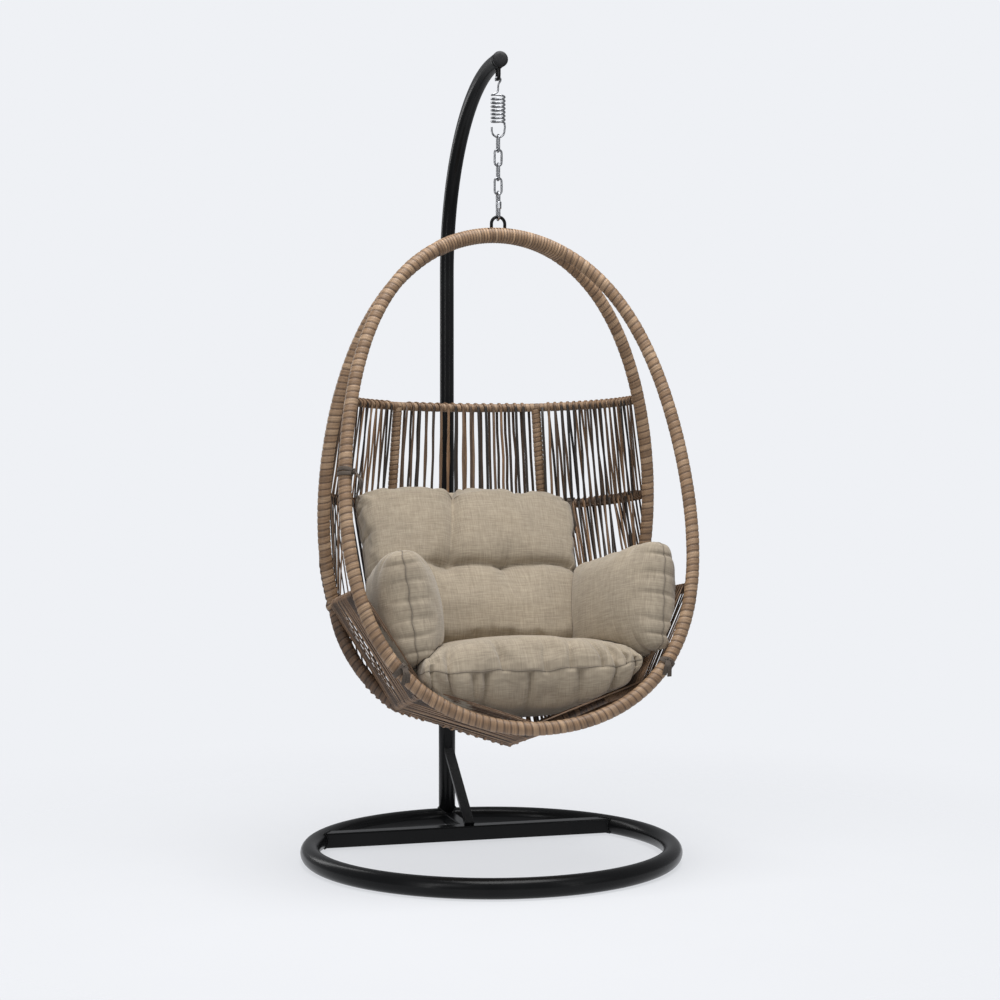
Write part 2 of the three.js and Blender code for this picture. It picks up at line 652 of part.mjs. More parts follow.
function buildBasket() {
  const hoopRooms = [frontBar, rearBar, lowerBar].map((bar) => bar(HOOP_TUBE + GAP));
  const railRooms = [TOP_RAIL, MIDDLE_RAIL].map((rail) => railBar(rail, RAIL_TUBE + GAP));
  buildFrame(hoopRooms, railRooms);

  const backRibRooms = sides.map(([, s]) => backRibBar(s, RIB_TUBE + LOOSE));
  const ribRooms = bottomRibs.map(([, axis]) => roundBar(straight(...axis), RIB_TUBE + LOOSE, 1, 8));
  const wrapRooms = {
    front: frontBar(flats(HOOP_WRAP + GAP, 8), 8),
    rear: rearBar(flats(HOOP_WRAP + GAP, 8), 8),
    lower: lowerBar(HOOP_WRAP + LOOSE, 8),
    knobs: union(sides.map(([, s]) => knobBall(s, KNOB_RADIUS + GAP))),
    middle: railBar(MIDDLE_RAIL, RAIL_WRAP + LOOSE, 8),
  };
  buildHoopWraps([...railRooms, ...backRibRooms, ...ribRooms], wrapRooms);
  buildBackWeave(wrapRooms);
  buildBottomWeave(wrapRooms, ribRooms);
  return wrapRooms;
}

function buildHoopWraps(steelRooms, wrapRooms) {
  const bore = flats(HOOP_TUBE + GAP, 6);
  const crownRoom = crownSkin(CROWN_WRAP + GAP, GAP);
  const start = CROWN_STEPS / HOOP_STEPS;
  const [front, frontSteps] = hoopSteps(frontHoop, start, 1 - start);
  const frontSkin = roundBar(front, HOOP_WRAP, frontSteps, 8);
  add('front_hoop_wrap', cut(frontSkin, [crownRoom, frontBar(bore), ...steelRooms]), WICKER);

  for (const [name, s] of sides) {
    const [curve, steps] = hoopSteps(rearHoop, start, knobT);
    const skin = roundBar(s > 0 ? curve : stretch(rearHoop, -start, -knobT), HOOP_WRAP, steps, 8);
    const tools = [crownRoom, rearBar(bore), wrapRooms.knobs, ...steelRooms];
    add(`rear_hoop_wrap_${name}`, cut(skin, tools), WICKER);
  }

  const lowerTools = [lowerBar(bore), wrapRooms.knobs, ...steelRooms];
  add('lower_hoop_wrap', cut(lowerBar(HOOP_WRAP, 8), lowerTools), DARK_WICKER);

  for (const [name, s] of sides) {
    const knob = knobBall(s, KNOB_RADIUS);
    const tools = [rearBar(bore), lowerBar(bore), knobBall(s, HOOP_TUBE + 2), ...steelRooms];
    add(`corner_knob_${name}`, cut(knob, tools), WICKER);
  }

  add('crown_wrap', crownWrap(), WICKER);
  add('saddle_plate', saddlePlate(0), BLACK_STEEL);
  add('lifting_eye', liftingEye(0), BLACK_STEEL);
}

function ball(centre, radius) {
  const geometry = new THREE.SphereGeometry(radius, 10, 6);
  geometry.translate(centre.x, centre.y, centre.z);
  return toSolid(geometry);
}

const SADDLE_Z = CROWN_Z + HOOP_TUBE + GAP + SADDLE.thick / 2;
function saddlePlate(room) {
  const [length, width, thick] = [SADDLE.length, SADDLE.width, SADDLE.thick].map((size) => size + 2 * room);
  return box(length, width, thick, 0, HANG_Y, SADDLE_Z);
}

// U of rod that stands on the saddle plate and comes out through the crown's wrap.
function liftingEye(room) {
  const centre = V(0, HANG_Y, LIFT_TOP - LIFT_ROD - LIFT_HALF);
  const foot = SADDLE_Z + SADDLE.thick / 2 + GAP - room;
  const points = arcPoints(centre, X, Z, LIFT_HALF, 0, 180, 10);
  points.unshift(V(LIFT_HALF, HANG_Y, foot));
  points.push(V(-LIFT_HALF, HANG_Y, foot));
  return toSolid(wire(points, LIFT_ROD + room, 6));
}

// One oval wrap round both hoops, which binds them together at the crown.
function crownSkin(radius, room) {
  const stations = 3;
  const reach = CROWN_ANGLE + room / 8;
  const rings = [];
  for (let i = -stations; i <= stations; i += 1) {
    const angle = (i / stations) * reach;
    const [front, rear] = [onFrontHoop(angle), onRearHoop(angle)];
    const along = onFrontHoop(angle + 1).sub(onFrontHoop(angle - 1)).setY(0).normalize();
    const up = V(-along.z, 0, along.x);
    const half = (centre, from) => arcPoints(centre, Y, up, radius, from, from + 180, 5);
    rings.push([...half(rear, -90), ...half(front, 90)]);
  }
  return toSolid(loft(rings));
}

function crownWrap() {
  const span = (CROWN_STEPS + 1) / HOOP_STEPS;
  const steps = 2 * (CROWN_STEPS + 1);
  const bore = flats(HOOP_TUBE + LOOSE, 6);
  const hoopBore = (hoop) => roundBar(stretch(hoop, -span, span), bore, steps, 6);
  const bores = [frontHoop, rearHoop].map(hoopBore);
  return cut(crownSkin(CROWN_WRAP, 0), [...bores, saddlePlate(GAP), liftingEye(GAP)]);
}

// ---- woven bays ---------------------------------------------------------------------------

// Middles of the evenly spread strands along a stretch of rail.
function strandAngles(curve, fromAngle, toAngle) {
  const count = Math.floor(curve.getLength() / STRAND_PITCH);
  const middle = (i) => fromAngle + (toAngle - fromAngle) * ((i + 0.5) / count);
  return Array.from({ length: count }, (_, i) => middle(i));
}

// A bay of the back: its stretch of the rail's wrap, with the strands that hang from it.
function backBay(upper, lower, [fromAngle, toAngle], tools) {
  const steps = Math.max(2, Math.round((toAngle - fromAngle) / 10));
  const curve = railCurve(upper, fromAngle, toAngle);
  const wrap = roundBar(curve, RAIL_WRAP, steps, 8);
  const strands = [];
  for (const angle of strandAngles(curve, fromAngle, toAngle)) {
    const widthWay = railPoint(upper, angle + 1).sub(railPoint(upper, angle - 1));
    strands.push(strand(railPoint(upper, angle), lower(angle), widthWay));
  }
  return cut(union([wrap, ...strands]), tools);
}

function besideKnob(angle) {
  const knobAngle = (KNOB_STEP * 360) / HOOP_STEPS;
  return onRearHoop(Math.sign(angle) * (knobAngle - 1 - 0.6 * (Math.abs(angle) - HOOP_END_ANGLE)));
}

function buildBackWeave(rooms) {
  const inner = BACK_RIB_ANGLE - BAY_NEAR_RIB;
  const outer = BACK_RIB_ANGLE + BAY_NEAR_RIB;
  const topRoom = railBar(TOP_RAIL, flats(RAIL_TUBE + GAP, 6));
  const middleRoom = railBar(MIDDLE_RAIL, flats(RAIL_TUBE + GAP, 6));
  const ribWrapRooms = sides.map(([, s]) => backRibBar(s, RAIL_WRAP + LOOSE + GAP));
  const topTools = [topRoom, rooms.middle, rooms.rear, ...ribWrapRooms];
  const lowTools = [middleRoom, rooms.lower, rooms.rear, ...ribWrapRooms];
  const onMiddleRail = (angle) => railPoint(MIDDLE_RAIL, angle);
  const lowEnd = (angle) =>
    (Math.abs(angle) < HOOP_END_ANGLE ? lowerHoopPoint(angle) : besideKnob(angle));
  const bays = (end) =>
    [['left', [-end, -outer]], ['centre', [-inner, inner]], ['right', [outer, end]]];
  for (const [name, span] of bays(TOP_BAY_END)) {
    add(`upper_weave_${name}`, backBay(TOP_RAIL, onMiddleRail, span, topTools), WICKER);
  }
  for (const [name, span] of bays(LOW_BAY_END)) {
    add(`lower_weave_${name}`, backBay(MIDDLE_RAIL, lowEnd, span, lowTools), DARK_WICKER);
  }
  for (const [name, s] of sides) {
    const wrap = backRibBar(s, RAIL_WRAP + LOOSE, RAIL_TUBE + 2, HOOP_WRAP + RAIL_WRAP);
    const bore = backRibBar(s, RIB_TUBE + LOOSE);
    add(`back_rib_wrap_${name}`, cut(wrap, [bore, middleRoom]), WICKER);
  }
}

// A bay of the bottom: the wrap of one rib and the strands strung to the next rib.
function bottomBay(axisFrom, axisTo, tools) {
  const [a0, a1] = axisFrom;
  const [b0, b1] = axisTo;
  const wrap = ribBar(axisFrom, RAIL_WRAP);
  const clear = (HOOP_WRAP + STRAND_WIDTH) / a0.distanceTo(a1);
  const count = Math.floor((a0.distanceTo(a1) * (1 - 2 * clear)) / STRAND_PITCH) + 1;
  const strands = [];
  for (let i = 0; i < count; i += 1) {
    const t = clear + (1 - 2 * clear) * (i / (count - 1));
    strands.push(strand(mixPoints(a0, a1, t), mixPoints(b0, b1, t), a1.clone().sub(a0)));
  }
  return cut(union([wrap, ...strands]), tools);
}

function buildBottomWeave(rooms, ribRooms) {
  const hoopTools = [rooms.front, rooms.rear, rooms.lower, rooms.knobs];
  const wrapRoom = (axis) => roundBar(straight(...axis), RAIL_WRAP + LOOSE, 1, 8);
  for (const [index, [name, s]] of sides.entries()) {
    const [side, corner, centre] = [ribAxis.side(s), ribAxis.corner(s), ribAxis.centre()];
    const sideTools = [...hoopTools, ribRooms[index], wrapRoom(corner)];
    const seatTools = [...hoopTools, ribRooms[2 + index], wrapRoom(centre)];
    add(`side_weave_${name}`, bottomBay(side, corner, sideTools), DARK_WICKER);
    add(`seat_weave_${name}`, bottomBay(corner, centre, seatTools), DARK_WICKER);
  }
  const centreWrap = ribBar(ribAxis.centre(), RAIL_WRAP);
  add('centre_rib_wrap', cut(centreWrap, [...hoopTools, ribRooms[4]]), DARK_WICKER);
}

// ---- cushions and their ties ----------------------------------------------------------------

// A filled cushion: two bulging faces that meet in a seam, with drawn-in sides.
function pillow(frame, size, grow = 0, dent = () => 0) {
  const [columns, rows] = size.grid;
  const [halfWide, halfTall] = size.half;
  const point = (i, j, side) => {
    const s = Math.sin((i / columns - 0.5) * Math.PI);
    const t = Math.sin((j / rows - 0.5) * Math.PI);
    const bulge = Math.sqrt((1 - s * s) * (1 - t * t)) ** CUSHION_FULLNESS;
    const face = side > 0 ? size.crown[0] : size.crown[1];
    const out = side * Math.max(0, (face + grow) * bulge - (side > 0 ? dent(s, t) * bulge : 0));
    return frame.centre.clone()
      .addScaledVector(frame.wide, s * (halfWide + grow) * (1 - size.pull[0] * (1 - t * t)))
      .addScaledVector(frame.tall, t * (halfTall + grow) * (1 - size.pull[1] * (1 - s * s)))
      .addScaledVector(frame.face, out);
  };
  const position = [];
  const quad = (a, b, c, d) => [a, b, c, a, c, d].forEach((p) => position.push(p.x, p.y, p.z));
  for (let i = 0; i < columns; i += 1) {
    for (let j = 0; j < rows; j += 1) {
      const around = [[i, j], [i + 1, j], [i + 1, j + 1], [i, j + 1]];
      const corners = (side) => around.map(([column, row]) => point(column, row, side));
      quad(...corners(1));
      quad(...corners(-1).reverse());
    }
  }
  const index = position.map((value, k) => k).slice(0, position.length / 3);
  const geometry = new THREE.BufferGeometry();
  geometry.setAttribute('position', new THREE.Float32BufferAttribute(position, 3));
  geometry.setIndex(signedVolume(position, index) < 0 ? index.reverse() : index);
  return toSolid(geometry);
}

// Axes of a cushion: its width, its height and the way its face looks, at right angles.
function cushionFrame({ centre, wide, face }) {
  const across = V(...wide).normalize();
  const look = V(...face);
  const out = look.addScaledVector(across, -look.dot(across)).normalize();
  return { centre: V(...centre), wide: across, tall: out.clone().cross(across), face: out };
}

const BED_CLEAR = RAIL_WRAP + GAP;
const BED_DEPTH = 120;

// Thick slab behind a four-cornered facet of the weave, which keeps the cushions off it.
function facetSlab(corners, inside) {
  const [a, b, c, d] = corners;
  const lengthWay = b.clone().sub(a).add(c).sub(d);
  const widthWay = d.clone().sub(a).add(c).sub(b);
  const normal = lengthWay.cross(widthWay).normalize();
  const sense = Math.sign(inside.clone().sub(a).dot(normal));
  const shifted = (distance) => corners.map((p) => p.clone().addScaledVector(normal, sense * distance));
  return toSolid(loft([shifted(BED_CLEAR), shifted(-BED_DEPTH)]));
}

function cushionRoom() {
  const inside = V(0, HANG_Y - 100, 700);
  const slabs = sides.flatMap(([, s]) => {
    const [side, corner, centre] = [ribAxis.side(s), ribAxis.corner(s), ribAxis.centre()];
    return [facetSlab([side[0], side[1], corner[1], corner[0]], inside),
      facetSlab([corner[0], corner[1], centre[1], centre[0]], inside)];
  });
  return union([...slabs, backWall()]);
}

// The same for the back: it follows the rails and the lower hoop.
function backWall() {
  const rings = [];
  for (let angle = -66; angle <= 66; angle += 11) {
    const out = V(Math.sin(radians(angle)), Math.cos(radians(angle)), 0);
    const spots = [railPoint(TOP_RAIL, angle), railPoint(MIDDLE_RAIL, angle), lowerHoopPoint(angle)];
    const inner = spots.map((p) => p.clone().addScaledVector(out, -BED_CLEAR - HOOP_WRAP / 2));
    const outer = spots.map((p) => p.clone().addScaledVector(out, BED_DEPTH));
    rings.push([...inner, ...outer.reverse()]);
  }
  return toSolid(loft(rings));
}

// How far the back cushion's face is drawn in, at its tufts and along the fold.
function tuftDent(s, t) {
  const off = TUFTS.reduce((near, spot) => Math.min(near, Math.abs(spot - s)), Infinity);
  const above = t - TUFT_HEIGHT;
  const tuft = Math.exp(-(off ** 2 + above ** 2) / TUFT_SPREAD ** 2);
  const fold = s > FOLD_START ? FOLD_SHARE * Math.exp(-((above / FOLD_SPREAD) ** 2)) : 0;
  return TUFT_DEPTH * Math.max(tuft, fold);
}

function buildCushions(rooms) {
  const bed = cushionRoom();
  const seatFrame = cushionFrame(CUSHION_PLACES.seat);
  const backFrame = cushionFrame(CUSHION_PLACES.back);
  const hoops = [rooms.front, rooms.rear, rooms.lower, rooms.knobs];
  const seat = pillow(seatFrame, SEAT_CUSHION);
  const seatRoom = pillow(seatFrame, SEAT_CUSHION, CUSHION_ROOM);
  add('seat_cushion', cut(seat, [bed, ...hoops]), FABRIC);
  const back = pillow(backFrame, BACK_CUSHION, 0, tuftDent);
  add('back_cushion', cut(back, [bed, seatRoom, ...hoops]), FABRIC);
  const backRoom = pillow(backFrame, BACK_CUSHION, CUSHION_ROOM);
  for (const [name] of sides) {
    const arm = pillow(cushionFrame(CUSHION_PLACES[name]), ARM_CUSHION);
    add(`arm_cushion_${name}`, cut(arm, [bed, seatRoom, backRoom, ...hoops]), FABRIC);
  }
}

// Woven tape tied round a wrapped tube: a band, a knot and two hanging tails.
function tapeTie(centre, along, radius, knotWay, tails) {
  const axis = along.clone().normalize();
  const out = knotWay.clone().addScaledVector(axis, -knotWay.dot(axis)).normalize();
  const other = axis.clone().cross(out);
  const rings = [];
  const count = 8;
  for (let k = 0; k < count; k += 1) {
    const angle = (k / count) * 2 * Math.PI;
    const way = out.clone().multiplyScalar(Math.cos(angle)).addScaledVector(other, Math.sin(angle));
    const corner = (i, r) =>
      centre.clone().addScaledVector(way, r).addScaledVector(axis, (i * TAPE_WIDTH) / 2);
    const outside = radius + TAPE_THICK;
    rings.push([corner(-1, radius), corner(1, radius), corner(1, outside), corner(-1, outside)]);
  }
  const knotFoot = centre.clone().addScaledVector(out, radius + TAPE_THICK / 2);
  const knotTop = knotFoot.clone().addScaledVector(out, KNOT_HEIGHT);
  const knot = toSolid(loft([knotFoot, knotTop].map((spot, k) => {
    const half = KNOT_SIZE / 2 - 2 * k;
    return [[-1, -1], [1, -1], [1, 1], [-1, 1]].map(([i, j]) =>
      spot.clone().addScaledVector(axis, i * half).addScaledVector(other, j * half));
  })));
  const knotMiddle = mixPoints(knotFoot, knotTop, 0.5);
  const ends = tails.map((end) => tapeTail(knotMiddle, knotMiddle.clone().add(end)));
  return union([toSolid(loft(rings, true)), knot, ...ends]);
}

function tapeTail(from, to) {
  const along = to.clone().sub(from).normalize();
  const wide = X.clone().addScaledVector(along, -along.x).normalize();
  const thick = along.clone().cross(wide);
  const ring = (centre) => [[-1, -1], [1, -1], [1, 1], [-1, 1]].map(([i, j]) => centre.clone()
    .addScaledVector(wide, (i * TAPE_WIDTH) / 2)
    .addScaledVector(thick, (j * TAPE_THICK) / 2));
  return toSolid(loft([ring(from), ring(to)]));
}

// Where a level line cuts the front hoop on one side, with the hoop's direction there.
function frontHoopSpot(s, degrees) {
  const centre = onFrontHoop(s * degrees);
  return [centre, onFrontHoop(s * (degrees + 1)).sub(onFrontHoop(s * (degrees - 1)))];
}

function buildTies() {
  const band = flats(HOOP_WRAP + TIE_EASE, 8);
  for (const [name, s] of sides) {
    const [centre, along] = frontHoopSpot(s, SEAT_TIE_ANGLE);
    const tails = [V(-s * 9, -3, -34), V(s * 3, -4, -38)];
    add(`seat_tie_${name}`, tapeTie(centre, along, band, V(-s * 0.3, -1, 0.3), tails), TAPE);
  }
  const [centre, along] = frontHoopSpot(-1, BACK_TIE_ANGLE);
  const leftTails = [V(8, -18, -40), V(-4, -20, -46)];
  add('back_tie_left', tapeTie(centre, along, band, V(0.3, -1, 0), leftTails), TAPE);
  const rail = (angle) => railPoint(MIDDLE_RAIL, angle);
  const bay = [BACK_RIB_ANGLE + BAY_NEAR_RIB, LOW_BAY_END];
  const nearest = strandAngles(railCurve(MIDDLE_RAIL, ...bay), ...bay);
  const tieAngle = (nearest[0] + nearest[1]) / 2;
  const railWay = rail(tieAngle + 1).sub(rail(tieAngle - 1));
  const railBand = flats(RAIL_WRAP + TIE_EASE, 8);
  const tails = [V(6, -42, -42), V(-7, -45, -46)];
  add('back_tie_right', tapeTie(rail(tieAngle), railWay, railBand, V(-0.5, -1, 0.2), tails), TAPE);
}

buildStand();
buildHanging();
const rooms = buildBasket();
buildCushions(rooms);
buildTies();

export default chair;
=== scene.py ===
# %% [markdown]
# # A hanging egg chair
# A basket of wrapped steel tube and strung flat strand hangs from a bent arm on a ring foot,
# with four loose linen cushions inside. The exact sizes come from the CAD frame, which
# is loaded first; every smooth or soft piece below is built over it, in metres, and takes the
# place of the plain solid that it refines.

# %% Load the frame
import json
import math

import bpy
import bmesh
import numpy as np
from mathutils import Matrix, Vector
from mathutils.bvhtree import BVHTree


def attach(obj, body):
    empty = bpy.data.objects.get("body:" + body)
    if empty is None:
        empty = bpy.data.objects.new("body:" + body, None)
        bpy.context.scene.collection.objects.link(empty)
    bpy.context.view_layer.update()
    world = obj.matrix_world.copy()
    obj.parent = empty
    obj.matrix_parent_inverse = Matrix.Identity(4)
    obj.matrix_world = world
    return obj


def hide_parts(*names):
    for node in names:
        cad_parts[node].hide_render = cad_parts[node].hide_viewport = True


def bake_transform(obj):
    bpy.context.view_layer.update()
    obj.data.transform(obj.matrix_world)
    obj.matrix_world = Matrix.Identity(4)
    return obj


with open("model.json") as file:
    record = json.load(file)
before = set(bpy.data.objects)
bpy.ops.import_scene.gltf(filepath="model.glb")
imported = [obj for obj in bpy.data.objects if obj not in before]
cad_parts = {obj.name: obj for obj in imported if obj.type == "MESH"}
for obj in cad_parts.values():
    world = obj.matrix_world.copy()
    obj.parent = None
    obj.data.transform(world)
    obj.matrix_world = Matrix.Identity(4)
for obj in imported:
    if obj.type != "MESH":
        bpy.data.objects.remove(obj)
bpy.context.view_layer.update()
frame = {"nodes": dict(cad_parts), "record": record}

# %% [markdown]
# ## Camera
# The photograph is taken from the sitter's right, a little under the height of the basket's
# middle. The place and the lens were found by matching the ring foot, the post and both hoops,
# so they are typed in here as they came out. A long lens keeps the hoops from flaring.

# %% Camera
CAMERA_PLACE = Vector((-1.24083, -4.42948, 0.95156))
CAMERA_WAY = Vector((0.27415, 0.96161, -0.01241))
SENSOR_WIDTH, LENS = 36.0, 66.453


def placed(name, data):
    """A new object in the scene that shows the data."""
    item = bpy.data.objects.new(name, data)
    bpy.context.collection.objects.link(item)
    return item


camera = placed("photo_camera", bpy.data.cameras.new("photo_camera"))
camera.data.sensor_width, camera.data.lens = SENSOR_WIDTH, LENS
camera.location = CAMERA_PLACE
camera.rotation_euler = CAMERA_WAY.to_track_quat("-Z", "Y").to_euler()
bpy.context.scene.camera = camera
print("lens", LENS, "mm")

# %% [markdown]
# ## Small helpers for materials
# Every finish is a few shader nodes. Short helpers add a node and wire it up, so that each
# finish below reads as a recipe: where the pattern lies, what it looks like, what it drives.

# %% Material helpers
def new_finish(name, roughness, metallic=0.0, sheen=0.0, shine=0.5):
    finish = bpy.data.materials.new(name)
    finish.use_nodes = True
    shader = finish.node_tree.nodes["Principled BSDF"]
    for socket, value in (("Roughness", roughness), ("Metallic", metallic), ("Sheen Weight", sheen),
                          ("Sheen Roughness", 0.6), ("Specular IOR Level", shine)):
        shader.inputs[socket].default_value = value
    return finish, shader


def add_node(finish, kind, links=None, **values):
    """A node of that kind. values set its sockets or settings, links wire other sockets in."""
    tree = finish.node_tree
    node = tree.nodes.new(kind)
    for key, value in values.items():
        label = key.replace("_", " ")
        if label in node.inputs:
            node.inputs[label].default_value = value
        else:
            setattr(node, key, value)
    for socket, source in (links or {}).items():
        tree.links.new(source, node.inputs[socket])
    return node


def feed(finish, sockets, values):
    """A number or a colour is set on its socket, and another node's output is wired to it."""
    for socket, value in zip(sockets, values):
        if isinstance(value, (int, float)):
            socket.default_value = value
        elif isinstance(value, tuple):
            socket.default_value = (*value, 1.0)
        else:
            finish.node_tree.links.new(value, socket)


def ramp(finish, source, stops):
    node = add_node(finish, "ShaderNodeValToRGB", {"Fac": source})
    elements = node.color_ramp.elements
    while len(elements) < len(stops):
        elements.new(0.5)
    for element, (place, colour) in zip(elements, stops):
        element.position = place
        element.color = (*colour, 1.0)
    return node.outputs["Color"]


def two_tone(finish, source, low, high):
    """Noise lies mostly between 0.3 and 0.7, so that is where the two colours are put."""
    return ramp(finish, source, [(0.3, low), (0.7, high)])


def mixed(finish, amount, first, second, way="MIX"):
    node = add_node(finish, "ShaderNodeMix", data_type="RGBA", blend_type=way)
    feed(finish, (node.inputs[0], node.inputs[6], node.inputs[7]), (amount, first, second))
    return node.outputs[2]


def number(finish, way, first, second):
    node = add_node(finish, "ShaderNodeMath", operation=way)
    feed(finish, node.inputs, (first, second))
    return node.outputs[0]


def spread(finish, source, low, high):
    return add_node(finish, "ShaderNodeMapRange", {"Value": source}, To_Min=low, To_Max=high).outputs["Result"]


def stretched_noise(finish, where, scale, detail=3.0, rough=0.55):
    laid = add_node(finish, "ShaderNodeMapping", {"Vector": where}, Scale=scale)
    return add_node(finish, "ShaderNodeTexNoise", {"Vector": laid.outputs["Vector"]},
                    Scale=1.0, Detail=detail, Roughness=rough).outputs["Fac"]


def read_values(finish, name, output="Fac"):
    """The value of that name that a mesh stores at each of its points."""
    return add_node(finish, "ShaderNodeAttribute", attribute_name=name).outputs[output]


def bump(finish, shader, height, strength, distance):
    node = add_node(finish, "ShaderNodeBump", {"Height": height}, Strength=strength, Distance=distance)
    finish.node_tree.links.new(node.outputs["Normal"], shader.inputs["Normal"])


def paint(finish, shader, colour, roughness):
    feed(finish, (shader.inputs["Base Color"], shader.inputs["Roughness"]), (colour, roughness))


# %% [markdown]
# ## The black stand and the zinc
# Powder coat is a satin black skin with a very fine orange-peel. It could be a glossy shader
# with a noise bump; that is enough, because the long soft lights do the rest. The spring and
# the chain are zinc plated: bright, slightly blue, and duller where they rub. The plug in the
# arm is moulded plastic, a little greyer and duller than the coat.

# %% Powder coat, zinc and plastic
def hard_finish(name, roughness, cloud, grain, colours, gloss, relief, **look):
    """Wide clouds pick the colour and the gloss, and a fine grain is the relief."""
    finish, shader = new_finish(name, roughness, **look)
    place = add_node(finish, "ShaderNodeTexCoord").outputs["Object"]
    clouds, fine = stretched_noise(finish, place, *cloud), stretched_noise(finish, place, *grain)
    paint(finish, shader, two_tone(finish, clouds, *colours), spread(finish, clouds, *gloss))
    bump(finish, shader, fine, *relief)
    return finish


powder_coat = hard_finish("satin_black_powder_coat", 0.34, ((9.0,) * 3, 2.0), ((320.0,) * 3, 1.0),
                          ((0.0050, 0.0052, 0.0056), (0.0080, 0.0082, 0.0086)), (0.2, 0.3), (0.03, 0.0002), shine=0.15)
zinc = hard_finish("bright_zinc_plate", 0.3, ((140.0,) * 3, 3.0), ((1500.0, 1500.0, 300.0), 2.0),
                   ((0.20, 0.205, 0.215), (0.42, 0.43, 0.45)), (0.16, 0.34), (0.08, 0.0001), metallic=1.0)
black_plastic = hard_finish("moulded_black_plastic", 0.5, ((300.0,) * 3, 2.0), ((300.0,) * 3, 2.0),
                            ((0.007, 0.007, 0.008), (0.011, 0.011, 0.012)), (0.42, 0.6), (0.03, 0.0002), shine=0.3)
print("metal and plastic finishes ready")

# %% [markdown]
# ## The strand
# The strand is flat extruded wicker in mixed browns with fine lines along it. Each mesh
# below carries three values per point: `tone`, one number per turn or run that picks its brown,
# `depth`, low in the joints where dirt and shade gather, and `lay`, the distance across and
# along the strand, so that the fine lines follow it round every tube without any unwrapping.

# %% Wicker finishes
def make_wicker(name, browns, joint, roughness=0.5):
    finish, shader = new_finish(name, roughness)
    lay = read_values(finish, "lay", "Vector")
    lines = stretched_noise(finish, lay, (900.0, 14.0, 1.0), 3.0, 0.65)
    patches = stretched_noise(finish, lay, (90.0, 22.0, 1.0), 2.0)
    brown = ramp(finish, read_values(finish, "tone"), browns)
    streaks = ramp(finish, lines, [(0.3, (0.46, 0.44, 0.41)), (0.5, (0.95, 0.95, 0.95)), (0.7, (1.5, 1.48, 1.42))])
    brown = mixed(finish, 0.85, brown, streaks, "MULTIPLY")
    clouds = two_tone(finish, patches, (0.72, 0.7, 0.68), (1.22, 1.2, 1.17))
    brown = mixed(finish, 0.7, brown, clouds, "MULTIPLY")
    brown = mixed(finish, spread(finish, read_values(finish, "depth"), 1.0, 0.0), brown, joint)
    paint(finish, shader, brown, spread(finish, lines, roughness - 0.1, roughness + 0.16))
    bump(finish, shader, lines, 0.5, 0.0006)
    return finish


WARM_BROWNS = [(0.0, (0.257, 0.161, 0.093)), (0.35, (0.318, 0.202, 0.119)),
               (0.7, (0.372, 0.244, 0.148)), (1.0, (0.446, 0.306, 0.194))]
# The shaded browns are the warm browns darkened: painted shade for the tubes that lie under and behind the cushions.
SHADED_BROWNS = [(0.0, (0.098, 0.059, 0.036)), (0.4, (0.144, 0.087, 0.053)),
               (0.75, (0.190, 0.116, 0.071)), (1.0, (0.253, 0.159, 0.100))]
# The lowest, near-black stops are painted shade: they stand in for inner-layer strands that lie in shadow, and go to
# runs at random among the real browns.
STRAND_BROWNS_AND_SHADE = [(0.0, (0.023, 0.020, 0.018)), (0.22, (0.049, 0.036, 0.028)), (0.45, (0.124, 0.077, 0.048)),
                 (0.68, (0.208, 0.129, 0.079)), (0.86, (0.305, 0.178, 0.095)), (1.0, (0.377, 0.257, 0.172))]
wicker = make_wicker("warm_wound_wicker", WARM_BROWNS, (0.095, 0.057, 0.036))
dark_wicker = make_wicker("shaded_wound_wicker", SHADED_BROWNS, (0.028, 0.017, 0.012), 0.55)
strand_wicker = make_wicker("mixed_strung_wicker", STRAND_BROWNS_AND_SHADE, (0.02, 0.014, 0.011), 0.48)
print("wicker finishes ready")

# %% [markdown]
# ## Linen and tape
# The cushions' cloth is a heavy linen mix: two sets of uneven threads at right angles, some
# thick and pale, some thin and dark. The value `cloth` holds the distance along both threads,
# so each cushion has its weave square to its own seams, and `seam` darkens the stitching. A
# little sheen gives the soft edge that fabric has.

# %% Linen and tape
def make_linen(name, pale, dark, seam_colour, sheen=0.22):
    finish, shader = new_finish(name, 0.9, sheen=sheen)
    cloth = read_values(finish, "cloth", "Vector")
    warp = stretched_noise(finish, cloth, (620.0, 34.0, 1.0), 2.0, 0.6)
    weft = stretched_noise(finish, cloth, (30.0, 560.0, 1.0), 2.0, 0.6)
    worn = stretched_noise(finish, cloth, (9.0, 9.0, 9.0), 3.0)
    threads = number(finish, "ADD", number(finish, "MULTIPLY", warp, 0.5), number(finish, "MULTIPLY", weft, 0.5))
    between = tuple((a + b) / 2 for a, b in zip(pale, dark))
    colour = ramp(finish, threads, [(0.36, dark), (0.5, between), (0.64, pale)])
    clouds = two_tone(finish, worn, (0.92, 0.92, 0.93), (1.06, 1.05, 1.04))
    colour = mixed(finish, 0.8, colour, clouds, "MULTIPLY")
    colour = mixed(finish, read_values(finish, "seam"), colour, seam_colour)
    paint(finish, shader, colour, spread(finish, threads, 0.8, 0.98))
    bump(finish, shader, threads, 0.55, 0.0012)
    return finish


linen = make_linen("slub_linen", (0.430, 0.360, 0.265), (0.262, 0.214, 0.153), (0.140, 0.112, 0.080))
tape_cloth = make_linen("woven_tape", (0.120, 0.092, 0.070), (0.050, 0.039, 0.030), (0.04, 0.033, 0.026), 0.08)
print("cloth finishes ready")
